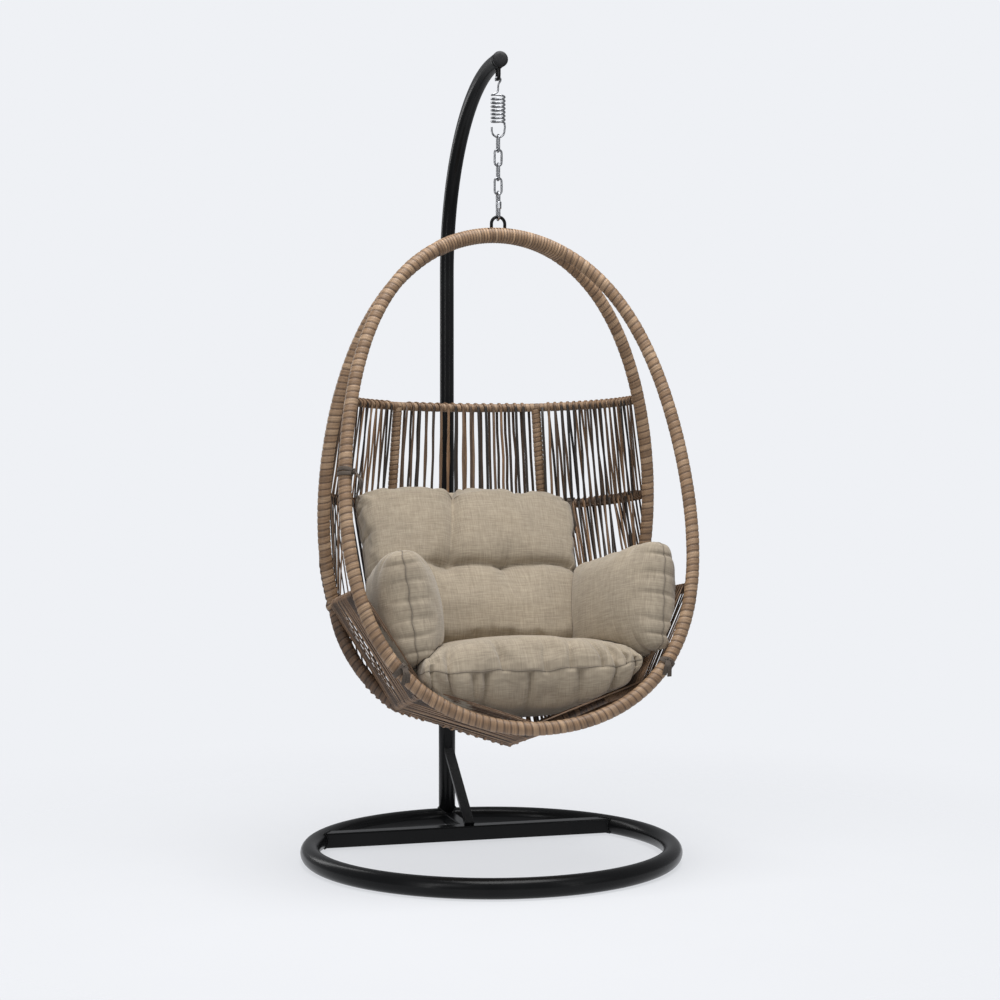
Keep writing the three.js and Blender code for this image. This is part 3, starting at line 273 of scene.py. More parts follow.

# %% [markdown]
# ## Making a mesh and putting it on its body
# Meshes are made from arrays of points and faces. One function makes the object, stores the
# values that its finish reads, lets it ride on its CAD body and says which CAD nodes it
# replaces. Round wire, turned parts and square tube each have a function that gives the arrays.

# %% Mesh helpers
# The dark_wicker slot gets the wound wicker darkened as painted shade.
FINISH_OF_SLOT = {
    "black_steel": powder_coat, "zinc": zinc, "frame_tube": powder_coat, "wicker": wicker,
    "dark_wicker": dark_wicker, "black_plastic": black_plastic, "cushion_fabric": linen, "tape": tape_cloth,
}
FULL_TURN = 2 * math.pi
X, Y, Z = np.eye(3)
nodes = frame["nodes"]


def store(mesh, key, table):
    """Keeps a number or a vector for each point, under a name that a finish can read."""
    table = np.asarray(table, np.float32)
    kind, field = ("FLOAT", "value") if table.ndim == 1 else ("FLOAT_VECTOR", "vector")
    mesh.attributes.new(key, kind, "POINT").data.foreach_set(field, table.ravel())


def make_piece(name, points, faces, slot, body, replaced=(), finish=None, values=None, smooth=True):
    mesh = bpy.data.meshes.new(name)
    mesh.from_pydata(np.asarray(points, float).tolist(), [], [list(map(int, f)) for f in faces])
    for key, table in (values or {}).items():
        store(mesh, key, table)
    work = bmesh.new()
    work.from_mesh(mesh)
    bmesh.ops.remove_doubles(work, verts=work.verts, dist=2e-6)
    bmesh.ops.recalc_face_normals(work, faces=work.faces)
    work.to_mesh(mesh)
    work.free()
    if smooth:
        mesh.polygons.foreach_set("use_smooth", [True] * len(mesh.polygons))
    piece = placed(name, mesh)
    mesh.materials.append(finish or FINISH_OF_SLOT[slot])
    if body:
        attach(piece, body)
    if replaced:
        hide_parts(*replaced)
    return piece


def unit(vectors):
    vectors = np.asarray(vectors, float)
    return vectors / np.linalg.norm(vectors, axis=-1, keepdims=True)


def ring_faces(rings, sides, closed=False):
    """Four-sided faces between rings of points, as on a tube."""
    faces = []
    for i in range(rings if closed else rings - 1):
        a, b = i * sides, (i + 1) % rings * sides
        faces += [(a + j, a + (j + 1) % sides, b + (j + 1) % sides, b + j) for j in range(sides)]
    return faces


def end_faces(rings, sides):
    return [list(range(sides))[::-1], [(rings - 1) * sides + j for j in range(sides)]]


def tube(path, radius, sides=20, closed=False, across=None):
    """Points and faces of a round tube along a path. across is a fixed direction that it never follows."""
    path = np.asarray(path, float)
    count = len(path)
    along = unit(np.roll(path, -1, 0) - np.roll(path, 1, 0) if closed else np.gradient(path, axis=0))
    if across is not None:
        side = unit(across - (along @ across)[:, None] * along)
    else:
        side = np.zeros_like(path)
        last = X if abs(along[0, 0]) < 0.9 else Y
        for i in range(count):
            last = unit(last - along[i] * (last @ along[i]))
            side[i] = last
    other = np.cross(along, side)
    angle = np.arange(sides) / sides * FULL_TURN
    radius = np.broadcast_to(np.asarray(radius, float), (count,))
    ring = np.cos(angle)[None, :, None] * side[:, None] + np.sin(angle)[None, :, None] * other[:, None]
    points = (path[:, None] + ring * radius[:, None, None]).reshape(-1, 3)
    return points, ring_faces(count, sides, closed) + ([] if closed else end_faces(count, sides))


def lathe(profile, place, axis, sides=40):
    """Points and faces of a turned shape. profile is pairs of a radius and a distance along the axis."""
    axis = unit(axis)
    first = unit(np.cross(axis, [0.3, 0.5, 0.8]))
    second = np.cross(axis, first)
    angle = np.arange(sides) / sides * FULL_TURN
    ring = np.cos(angle)[:, None] * first + np.sin(angle)[:, None] * second
    points = np.concatenate([np.asarray(place) + axis * z + ring * r for r, z in profile])
    return points, ring_faces(len(profile), sides)


def joined(*parts):
    """Several (points, faces) as one."""
    points, faces, start = [], [], 0
    for part_points, part_faces in parts:
        points.append(np.asarray(part_points, float))
        faces += [[start + i for i in face] for face in part_faces]
        start += len(part_points)
    return np.concatenate(points), faces


def rounded_bar(start, end, half_width, half_height, up, edge=0.004, stops=9):
    """A square tube between two points, with its long edges rounded."""
    start, end = np.asarray(start, float), np.asarray(end, float)
    along = unit(end - start)
    up = unit(np.asarray(up, float) - along * (np.asarray(up, float) @ along))
    wide = np.cross(along, up)
    outline = []
    for i, j, turned in ((1, 1, 0), (-1, 1, 90), (-1, -1, 180), (1, -1, 270)):
        for angle in np.radians(turned + np.linspace(0, 90, 5)):
            outline.append(wide * (i * (half_width - edge) + edge * math.cos(angle))
                           + up * (j * (half_height - edge) + edge * math.sin(angle)))
    points = np.concatenate([start + (end - start) * s + outline for s in np.linspace(0, 1, stops)])
    return points, ring_faces(stops, len(outline)) + end_faces(stops, len(outline))


def arc(centre, first, second, radius, start, end, steps):
    """Points of an arc, in degrees from the first direction towards the second."""
    angle = np.radians(np.linspace(start, end, steps))[:, None]
    return np.asarray(centre, float) + radius * (np.cos(angle) * first + np.sin(angle) * second)


print("helpers ready")

# %% [markdown]
# ## The stand
# The foot is one tube bent to a ring. A square bar crosses it behind the middle, a shorter
# one ties that to the post, and a flat brace leans from the bar to the post. Bars could be
# plain boxes; drawn tube has rounded edges that catch the light, so these have them too.

# %% Stand: ring, bars and brace
RING_RADIUS, RING_TUBE = 0.451, 0.024
CROSS_BAR_Y, CROSS_BAR_HALF, TIE_BAR_HALF = 0.221, 0.019, 0.015
LOWER_POST, UPPER_POST = 0.0225, 0.019
BRACE_HALF, BRACE_TOP = (0.013, 0.006), 0.212


def stand_piece(name, shape, node, slot="black_steel", smooth=True):
    return make_piece(name, *shape, slot, "stand", [node], smooth=smooth)


ring_path = arc((0, 0, RING_TUBE), Y, X, RING_RADIUS, 0, 358, 180)
stand_piece("ring_foot", tube(ring_path, RING_TUBE, 36, True, Z), "base_ring")

bar_reach = math.sqrt(RING_RADIUS ** 2 - CROSS_BAR_Y ** 2) - RING_TUBE * 0.62
bar_z = RING_TUBE
cross_bar = rounded_bar((-bar_reach, CROSS_BAR_Y, bar_z), (bar_reach, CROSS_BAR_Y, bar_z),
                        CROSS_BAR_HALF, CROSS_BAR_HALF, Z)
stand_piece("cross_bar_tube", cross_bar, "cross_bar", smooth=False)
tie_bar = rounded_bar((0, CROSS_BAR_Y + CROSS_BAR_HALF, bar_z), (0, RING_RADIUS - RING_TUBE * 0.6, bar_z),
                      TIE_BAR_HALF, TIE_BAR_HALF, Z, 0.003)
stand_piece("tie_bar_tube", tie_bar, "tie_bar", smooth=False)
brace = rounded_bar((0, CROSS_BAR_Y - 0.007, bar_z + CROSS_BAR_HALF + 0.003),
                    (0, RING_RADIUS - LOWER_POST * 0.7, BRACE_TOP), *BRACE_HALF, Z - Y, 0.0015)
stand_piece("brace_plate", brace, "post_brace", smooth=False)
print("ring", round(2 * (RING_RADIUS + RING_TUBE), 3), "m across")

# %% [markdown]
# ## Post and arm
# The post is two tubes, one in the other. The upper one bends forward in a quarter
# circle and runs level over the basket, where a plastic plug closes it. A U of rod under
# its end holds the spring, and a bolt through both tubes keeps the arm from turning.

# %% Stand: post, arm, cap and eye
HANG_Y = -0.060
ARM_Z, ARM_BEND, ARM_TIP_Y, ARM_FOOT = 1.973, 0.470, -0.076, 0.70
arm_path = np.concatenate([
    np.linspace((0, RING_RADIUS, ARM_FOOT), (0, RING_RADIUS, ARM_Z - ARM_BEND - 0.02), 12),
    arc((0, RING_RADIUS - ARM_BEND, ARM_Z - ARM_BEND), Y, Z, ARM_BEND, 0, 90, 49),
    np.linspace((0, -0.03, ARM_Z), (0, ARM_TIP_Y, ARM_Z), 4)])
stand_piece("bent_post_tube", tube(arm_path, UPPER_POST, 36, across=X), "upper_post_arm")

SLEEVE_FOOT, SLEEVE_TOP = 0.034, 0.82
sleeve = [(0, SLEEVE_FOOT), *((LOWER_POST, z) for z in (SLEEVE_FOOT, 0.30, 0.60, SLEEVE_TOP - 0.0015)),
          (LOWER_POST - 0.0008, SLEEVE_TOP - 0.0004), (UPPER_POST + 0.0006, SLEEVE_TOP), (0, SLEEVE_TOP)]
stand_piece("foot_post_tube", lathe(sleeve, (0, RING_RADIUS, 0), Z, 48), "lower_post")

PLUG = [(0, 0.010), (0.015, 0.010), (0.0165, 0.0003), (0.0196, 0.0002), (0.0196, -0.0045), (0.0188, -0.0062),
        (0.0165, -0.0076), (0.011, -0.0086), (0.005, -0.0090), (0, -0.0090)]
stand_piece("arm_plug", lathe(PLUG, (0, ARM_TIP_Y, ARM_Z), Y, 48), "arm_end_cap", "black_plastic")

EYE_ROD, EYE_HALF, EYE_DROP = 0.0035, 0.011, 0.027
arm_belly = ARM_Z - UPPER_POST
eye_centre = arm_belly - EYE_DROP + EYE_HALF
legs = [np.linspace((0, y, arm_belly + 0.003), (0, y, eye_centre + 0.003), 4)
        for y in (HANG_Y - EYE_HALF, HANG_Y + EYE_HALF)]
eye_path = np.concatenate([legs[0], arc((0, HANG_Y, eye_centre), -Y, -Z, EYE_HALF, 0, 180, 17), legs[1][::-1]])
stand_piece("arm_hanging_eye", tube(eye_path, EYE_ROD, 16, across=X), "arm_eye")

BOLT_Z, HEAD = 0.760, LOWER_POST + 0.0003
bolt = [(0, -HEAD - 0.005), (0.003, -HEAD - 0.0048), (0.0058, -HEAD - 0.0036), (0.0074, -HEAD - 0.001),
        (0.0075, -HEAD), (0.004, -HEAD), (0.004, HEAD), (0.0066, HEAD), (0.0068, HEAD + 0.006),
        (0.004, HEAD + 0.0065), (0.004, 0.0345), (0.0034, 0.0352), (0, 0.0352)]
stand_piece("locking_bolt", lathe(bolt, (0, RING_RADIUS, BOLT_Z), -X, 24), "lock_bolt", "zinc")
print("stand is", round(ARM_Z + UPPER_POST, 3), "m high")

# %% [markdown]
# ## Welds
# Real welds show as a small bead round each joint. A smooth ring would do from afar, but its
# highlight would be one clean line, so each bead here swells and thins like the puddles that
# the welder lays one over the next.

# %% Weld beads
def weld_bead(path, name, radius=0.0032):
    swell = 1 + 0.16 * np.sin(np.arange(len(path)) * 1.9)
    return make_piece(name, *tube(path, radius * swell, 10, True), "black_steel", "stand")


around = np.linspace(0, FULL_TURN, 72, endpoint=False)
foot_y = LOWER_POST * np.cos(around)
foot_z = RING_TUBE + np.sqrt(np.maximum(RING_TUBE ** 2 - foot_y ** 2, 0))
weld_bead(np.stack([LOWER_POST * np.sin(around), RING_RADIUS + foot_y, foot_z + 0.0008], 1), "post_foot_weld")
bar_y, bar_side = (CROSS_BAR_HALF * np.clip(1.35 * wave(around), -1, 1) for wave in (np.cos, np.sin))
ring_inside = RING_RADIUS - np.sqrt(RING_TUBE ** 2 - bar_side ** 2) - 0.0005
bar_x = np.sqrt(ring_inside ** 2 - (CROSS_BAR_Y + bar_y) ** 2)
for name, sign in (("left", -1), ("right", 1)):
    weld_bead(np.stack([sign * bar_x, CROSS_BAR_Y + bar_y, bar_z + bar_side], 1), f"cross_bar_weld_{name}", 0.0026)
for name, y in (("front", HANG_Y - EYE_HALF), ("back", HANG_Y + EYE_HALF)):
    weld_bead(arc((0, y, arm_belly + 0.0004), X, Y, 0.0048, 0, 345, 24), f"eye_weld_{name}", 0.0017)
print("five beads laid")

# %% [markdown]
# ## Spring
# The spring is one round wire: a hook over the arm's eye, seven open turns and a loop. It
# follows the same formula as its CAD solid, only with many more points per turn. When the
# chair sinks, its hook stays on the arm and its loop goes down with the chain: that could be
# a bone, a shape key or a blend of the joint's two bodies, but here it has no body and is baked.

# %% Spring
SPRING_WIRE, SPRING_RADIUS, SPRING_PITCH, SPRING_CURLS = 0.0024, 0.0162, 0.0092, 7
SPRING_TOP = 1.888
SPRING_FOOT = SPRING_TOP - SPRING_CURLS * SPRING_PITCH
HOOK_Z, HOOK_RADIUS = 1.9332, 0.0066
LOOP_Z = SPRING_FOOT - 0.038
STEPS_PER_CURL = 24


def eased(points, rounds=2):
    """Cuts corners, so that the wire bends smoothly where straight and curved runs meet."""
    points = np.asarray(points, float)
    for _ in range(rounds):
        a, b = points[:-1], points[1:]
        inner = np.stack([a * 0.75 + b * 0.25, a * 0.25 + b * 0.75], 1).reshape(-1, 3)
        points = np.concatenate([points[:1], inner, points[-1:]])
    return points


hook = arc((0, HANG_Y, HOOK_Z - HOOK_RADIUS), X, Z, HOOK_RADIUS, 215, -55, 14)
shank = [(0, HANG_Y, HOOK_Z - HOOK_RADIUS - 0.013), (0, HANG_Y, SPRING_TOP + 0.009),
         (-SPRING_RADIUS * 0.45, HANG_Y - 0.001, SPRING_TOP + 0.0045)]
steps = np.arange((SPRING_CURLS + 0.5) * STEPS_PER_CURL + 1)
coil_angle = math.pi + steps * FULL_TURN / STEPS_PER_CURL
coil = np.stack([SPRING_RADIUS * np.cos(coil_angle), HANG_Y + SPRING_RADIUS * np.sin(coil_angle),
                 SPRING_TOP - steps * SPRING_PITCH / STEPS_PER_CURL], 1)
bend = [(SPRING_RADIUS + 0.0015, HANG_Y, SPRING_FOOT - 0.011)]
loop = arc((0, HANG_Y, LOOP_Z + SPRING_RADIUS), X, Z, SPRING_RADIUS, 0, -180, 18)
loop_end = [(-SPRING_RADIUS, HANG_Y, LOOP_Z + SPRING_RADIUS + 0.008)]
spring_path = np.concatenate([eased(np.concatenate([hook, shank, coil[:1]]))[:-1], coil,
                              eased(np.concatenate([coil[-1:], bend, loop, loop_end]))[1:]])
hanging_spring = make_piece("hanging_spring", *tube(spring_path, SPRING_WIRE, 14), "zinc", None, ["coil_spring"])
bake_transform(hanging_spring)
print("spring wire", round(float(np.linalg.norm(np.diff(spring_path, axis=0), axis=1).sum()), 3), "m")

# %% [markdown]
# ## Chain and quick link
# Each link is a bent wire, a little thicker where it is welded shut, and every second one is
# turned a quarter. The quick link below them is longer and has a six-sided nut that screws
# over its gap; without that gap the chain could never be hung up. It lifts a steel eye that
# stands on the crown of the basket.

# %% Chain and quick link
LINK_WIRE, LINK_LENGTH, LINK_WIDTH = 0.0027, 0.046, 0.023
QUICK_WIRE, QUICK_WIDTH = 0.003, 0.027
LIFT_ROD, LIFT_HALF, LIFT_TOP, LIFT_FOOT = 0.004, 0.017, 1.5945, 1.5585
PLAY = 0.0003
FIRST_LINK_TOP = LOOP_Z + SPRING_WIRE + PLAY + 2 * LINK_WIRE
LINK_PITCH = LINK_LENGTH - 4 * LINK_WIRE - PLAY


def link_path(top, length, width, wire, level):
    bend_radius = width / 2 - wire
    upper = arc((0, HANG_Y, top - wire - bend_radius), level, Z, bend_radius, 0, 180, 13)
    lower = arc((0, HANG_Y, top - length + wire + bend_radius), level, Z, bend_radius, 180, 360, 13)
    return np.concatenate([upper, [(upper[-1] + lower[0]) / 2], lower, [(lower[-1] + upper[0]) / 2]])


for i in range(4):
    level, across = (X, Y) if i % 2 else (Y, X)
    path = link_path(FIRST_LINK_TOP - i * LINK_PITCH, LINK_LENGTH, LINK_WIDTH, LINK_WIRE, level)
    radius = np.full(len(path), LINK_WIRE)
    radius[-1] *= 1.12
    make_piece(f"link_{i + 1}", *tube(path, radius, 14, True, across), "zinc",
               "upper_chain" if i < 2 else "lower_chain", [f"chain_link_{i + 1}"])

quick_top = FIRST_LINK_TOP - 3 * LINK_PITCH - LINK_LENGTH + 2 * LINK_WIRE + PLAY + 2 * QUICK_WIRE
quick_foot = LIFT_TOP - 2 * LIFT_ROD - PLAY - 2 * QUICK_WIRE
quick_path = link_path(quick_top, quick_top - quick_foot, QUICK_WIDTH, QUICK_WIRE, Y)
make_piece("quick_link_body", *tube(quick_path, QUICK_WIRE, 16, True, X), "zinc", "basket", ["quick_link"])
nut_place = (0, HANG_Y - QUICK_WIDTH / 2 + QUICK_WIRE, (quick_top + quick_foot) / 2)
NUT = [(0.0033, -0.009), (0.0046, -0.009), (0.0056, -0.0078), (0.0056, 0.0078), (0.0046, 0.009), (0.0033, 0.009)]
make_piece("quick_link_sleeve_nut", *lathe(NUT + NUT[:1], nut_place, Z, 6), "zinc", "basket",
           ["quick_link_nut"], smooth=False)
lift_arc = arc((0, HANG_Y, LIFT_TOP - LIFT_ROD - LIFT_HALF), X, Z, LIFT_HALF, 0, 180, 25)
lift_path = np.concatenate([[(LIFT_HALF, HANG_Y, LIFT_FOOT)], lift_arc, [(-LIFT_HALF, HANG_Y, LIFT_FOOT)]])
make_piece("crown_lifting_eye", *tube(lift_path, LIFT_ROD, 18, across=Y), "black_steel", "basket", ["lifting_eye"])
print("quick link", round(quick_top - quick_foot, 4), "m long")

# %% [markdown]
# ## The shape of the basket
# Two egg-shaped hoops leave the crown at different angles; the rear one carries two curved
# rails behind the sitter, and a lower hoop runs from its knobs under the seat. Everything that
# is wound or strung is placed by these few formulas, which are the frame's own.

# %% Basket formulas
CROWN_Z, HOOP_GAP = 1.545, 0.026
FRONT_LEAN, REAR_LEAN = -16.4, 5.4
KNOB_ANGLE, LOW_CORNER, BACK_RIB = 120.0, 43.0, 29.0


def hoop_point(degrees, half, taper, fullness, drop, lean, offset):
    angle, lean = np.radians(degrees), math.radians(lean)
    width = 1 - taper * np.cos(angle) + fullness * np.cos(2 * angle)
    down = drop / 2 * (1 - np.cos(angle))
    return np.stack([half * np.sin(angle) * width, HANG_Y + offset + down * math.sin(lean),
                     CROWN_Z - down * math.cos(lean)], -1)


def on_front(degrees):
    return hoop_point(degrees, 0.456, 0.1, 0.082, 1.216, FRONT_LEAN, -HOOP_GAP / 2)


def on_rear(degrees):
    return hoop_point(degrees, 0.443, 0.088, 0.057, 1.214, REAR_LEAN, HOOP_GAP / 2)


def rear_at(height):
    """The point of the rear hoop at that height, found by halving."""
    high, low = 0.0, 180.0
    for _ in range(40):
        middle = (high + low) / 2
        high, low = (middle, low) if on_rear(middle)[2] > height else (high, middle)
    return on_rear(high)


# Each rail: its right end on the rear hoop, how deep it bows backward, how far it sags.
RAILS = {"top": (rear_at(1.150), 0.278, 0.017), "middle": (rear_at(0.914), 0.253, 0.042)}
KNOB, LOW_MIDDLE = on_rear(KNOB_ANGLE), np.array([0, -0.156, 0.317])
FRONT_ACROSS, REAR_ACROSS = (np.array([0, math.cos(math.radians(lean)), math.sin(math.radians(lean))])
                             for lean in (FRONT_LEAN, REAR_LEAN))
LOWER_ACROSS = np.cross(X, unit(KNOB * (Y + Z) - LOW_MIDDLE))


def on_rail(rail, degrees):
    end, deep, sag = RAILS[rail]
    angle = np.radians(degrees)
    bow = np.cos(angle)
    return np.stack([end[0] * np.sin(angle), end[1] + deep * bow, end[2] - sag * bow], -1)


def on_lower(degrees):
    """Bows in from each knob to a corner, and from there runs straight to the low middle."""
    degrees = np.asarray(degrees, float)[..., None]
    angle = np.radians(np.copysign(np.maximum(np.abs(degrees), LOW_CORNER), degrees))
    bowed = np.concatenate([KNOB[0] * np.sin(angle), KNOB[1:] + (LOW_MIDDLE - KNOB)[1:] * np.cos(angle)], -1)
    return LOW_MIDDLE + (bowed - LOW_MIDDLE) * np.minimum(np.abs(degrees) / LOW_CORNER, 1)


print("knobs at", np.round(KNOB, 3), "rail ends", np.round(RAILS["top"][0], 3))

# %% [markdown]
# ## Winding a tube
# The strand goes round each tube as a screw thread does, every turn lying against the last.
# A plain tube with stripes in its colour would look painted, so the mesh itself is wound:
# its rows climb one strand width per turn, and each turn bulges between two joints. This is
# the part that takes the most care, because the last column of each turn meets the first
# column of the next one. Each turn holds two strands, which a faint line down its middle shows.

# %% Wound skin
HOOP_PITCH, RAIL_PITCH = 0.0165, 0.0125
HOOP_SKIN, RAIL_SKIN, BACK_RIB_SKIN, BOTTOM_RIB_SKIN = 0.0147, 0.0102, 0.0112, 0.0106
ROWS_PER_TURN, FINE_STOPS = 8, 600


def reach_along(path):
    """The distance from the start of the path at each of its points."""
    return np.concatenate([[0], np.cumsum(np.linalg.norm(np.diff(path, axis=0), axis=1))])


def evenly(path, count):
    """The path again, at count + 1 evenly spaced stops, and its length."""
    path = np.asarray(path, float)
    reach = reach_along(path)
    want = np.linspace(0, reach[-1], count + 1)
    return np.stack([np.interp(want, reach, path[:, k]) for k in range(3)], 1), reach[-1]


def thread_faces(rows, sides, per_turn):
    """Faces of a screw thread: the last column of a turn joins the first column of the next."""
    faces = []
    for row in range(rows - 1):
        a, b = row * sides, (row + 1) * sides
        faces += [(a + c, a + c + 1, b + c + 1, b + c) for c in range(sides - 1)]
        low, high = (min(r + per_turn, rows - 1) * sides for r in (row, row + 1))
        faces.append((a + sides - 1, low, high, b + sides - 1) if low != high
                     else (a + sides - 1, low, b + sides - 1))
    return faces


def wound_skin(name, path, across, radius, pitch, slot, replaced=(), sides=18, ridge=0.0013):
    """A tube whose turns are modelled. across is the direction that the path never follows."""
    fine, length = evenly(path, FINE_STOPS)
    turns = max(3, round(length / pitch))
    band = length / turns
    rng = np.random.default_rng(len(name) * 131 + turns)
    tones, lifts = rng.random(turns + 4), 1 + 0.3 * (rng.random(turns + 4) - 0.5)
    rows = np.arange(-ROWS_PER_TURN, turns * ROWS_PER_TURN + 1)
    row, column = np.meshgrid(rows, np.arange(sides), indexing="ij")
    share = np.clip((row / ROWS_PER_TURN + column / sides) / turns, 0, 1) * FINE_STOPS
    below = np.minimum(share.astype(int), FINE_STOPS - 1)
    part = (share - below)[..., None]
    along = unit(np.gradient(fine, axis=0))
    side = unit(across - (along @ across)[:, None] * along)
    middle, first, second = (table[below] * (1 - part) + table[below + 1] * part
                             for table in (fine, side, np.cross(along, side)))
    turn_number, within = row // ROWS_PER_TURN, (row % ROWS_PER_TURN) / ROWS_PER_TURN
    mid_line = 1 - 0.3 * np.exp(-((within - 0.5) / 0.07) ** 2)
    bulge = np.sin(math.pi * within) ** 0.5 * mid_line
    angle = column / sides * FULL_TURN
    size = radius + ridge * bulge * lifts[turn_number % (turns + 4)]
    points = middle + (np.cos(angle)[..., None] * first + np.sin(angle)[..., None] * second) * size[..., None]
    values = {
        "tone": tones[turn_number % turns].ravel(),
        "depth": (bulge ** 0.8).ravel(),
        "lay": np.stack([within * band, (angle + turn_number * FULL_TURN) * radius, 0 * angle], -1).reshape(-1, 3),
    }
    return make_piece(name, points.reshape(-1, 3), thread_faces(*row.shape, ROWS_PER_TURN), slot, "basket",
                      replaced, values=values)


SIDES_OF_CHAIR = (("left", -1), ("right", 1))
wound_skin("front_hoop_winding", on_front(np.linspace(19, 341, 400)), FRONT_ACROSS, HOOP_SKIN, HOOP_PITCH,
           "wicker", ["front_hoop_wrap"])
for name, sign in SIDES_OF_CHAIR:
    wound_skin(f"rear_hoop_winding_{name}", on_rear(sign * np.linspace(19, KNOB_ANGLE, 200)), REAR_ACROSS,
               HOOP_SKIN, HOOP_PITCH, "wicker", [f"rear_hoop_wrap_{name}"])
# The lower hoop and the middle rail lie under and behind the cushions and take the dark wicker, which is painted shade.
wound_skin("lower_hoop_winding", on_lower(np.linspace(-90, 90, 400)), LOWER_ACROSS, HOOP_SKIN, HOOP_PITCH,
           "dark_wicker", ["lower_hoop_wrap"])
for rail, slot in (("top", "wicker"), ("middle", "dark_wicker")):
    across = unit(np.cross(X, [0, RAILS[rail][1], -RAILS[rail][2]]))
    wound_skin(f"{rail}_rail_winding", on_rail(rail, np.linspace(-89.5, 89.5, 300)), across, RAIL_SKIN,
               RAIL_PITCH, slot, sides=14, ridge=0.0009)
print("hoops and rails wound")

# %% [markdown]
# ## Ribs
# Two ribs stand behind the sitter and are bent where they cross the middle rail, and five
# short ones run under the seat from the front hoop to the lower one. They carry the same
# winding, which hides the steel tube in each of them.

# %% Ribs
def rounded_corner(points, size=0.03, steps=9):
    """A path of three points with its corner rounded, as a bent tube has."""
    start, corner, end = points
    a, b = corner + unit(start - corner) * size, corner + unit(end - corner) * size
    t = np.linspace(0, 1, steps)[:, None]
    bend = (1 - t) ** 2 * a + 2 * t * (1 - t) * corner + t ** 2 * b
    return np.concatenate([np.linspace(start, a, 12)[:-1], bend, np.linspace(b, end, 24)[1:]])


bottom_ribs = {}
for name, sign in SIDES_OF_CHAIR:
    stops = [on_rail("top", sign * BACK_RIB), on_rail("middle", sign * BACK_RIB), on_lower(sign * BACK_RIB)]
    wound_skin(f"back_rib_winding_{name}", rounded_corner(stops), X, BACK_RIB_SKIN, RAIL_PITCH, "wicker",
               [f"back_rib_wrap_{name}"], sides=16)
    bottom_ribs[f"side_rib_{name}"] = (on_front(sign * 118), KNOB * np.array([sign, 1, 1]))
    bottom_ribs[f"corner_rib_{name}"] = (on_front(sign * 148), on_lower(sign * LOW_CORNER))
bottom_ribs["centre_rib"] = (on_front(180), on_lower(0))
# The ribs under the seat take the dark wicker, which is painted shade.
for name, (start, end) in bottom_ribs.items():
    wound_skin(f"{name}_winding", np.linspace(start, end, 40), X, BOTTOM_RIB_SKIN, RAIL_PITCH, "dark_wicker",
               ["centre_rib_wrap"] if name == "centre_rib" else (), sides=14, ridge=0.0010)
print("ribs wound:", 2 + len(bottom_ribs))

# %% [markdown]
# ## Crown
# At the top one thick winding binds both hoops and the plate of the lifting eye, and parts
# where they spread. It is a wound skin too, but its section is a long oval: two half circles
# round the hoops, joined by flat sides, which lean as the hoops do.

# %% Crown
CROWN_HALF, CROWN_SKIN = 21.5, 0.0172
CROWN_TURNS, CROWN_ROWS, CROWN_SIDES = 46, 5, 28


def crown_winding():
    tones = np.random.default_rng(3).random(CROWN_TURNS + 2)
    row, column = np.meshgrid(np.arange(CROWN_TURNS * CROWN_ROWS + 1), np.arange(CROWN_SIDES), indexing="ij")
    place = np.clip((row / CROWN_ROWS + column / CROWN_SIDES - 0.5) / CROWN_TURNS, 0, 1)
    degrees = CROWN_HALF * (2 * place - 1)
    front, rear = on_front(degrees), on_rear(degrees)
    along = unit((on_front(degrees + 1) - on_front(degrees - 1)) * (X + Z))
    up = np.stack([-along[..., 2], 0 * place, along[..., 0]], -1)
    angle = column / CROWN_SIDES * FULL_TURN
    turn_number, within = row // CROWN_ROWS, (row % CROWN_ROWS) / CROWN_ROWS
    bulge = np.sin(math.pi * within) ** 0.55
    close = 1 - 0.09 * np.maximum(0, np.abs(place - 0.5) * 2 - 0.93) / 0.07
    size = (CROWN_SKIN + 0.0016 * bulge) * close
    flat = np.cos(angle)
    reach = np.copysign(np.minimum(1, np.abs(flat) * 1.35), flat) / 2
    points = ((front + rear) / 2 + (rear - front) * reach[..., None]
              + (Y * flat[..., None] + up * np.sin(angle)[..., None]) * size[..., None])
    values = {
        "tone": tones[turn_number].ravel(),
        "depth": (bulge ** 0.8).ravel(),
        "lay": np.stack([within * 0.0085, angle * 0.026 + turn_number * 0.16, 0 * angle], -1).reshape(-1, 3),
    }
    return points.reshape(-1, 3), thread_faces(*row.shape, CROWN_ROWS), values


crown_points, crown_faces, crown_values = crown_winding()
make_piece("crown_winding", crown_points, crown_faces, "wicker", "basket", ["crown_wrap"], values=crown_values)
print("crown wound with", CROWN_TURNS, "turns")

# %% [markdown]
# ## Corner knobs
# Where the rear hoop and the lower hoop meet, the strand is wound over and over itself into a
# knob. A wound skin can't cross itself, so a knob is a ball of flat rings that lie in chance
# directions, with a plain core that closes the gaps between them.

# %% Corner knobs
KNOB_TURNS, KNOB_RADIUS, RING_STOPS, RING_SIDES = 11, 0.0196, 48, 8
FLAT_HALF, THICK_HALF = 0.0046, 0.0019


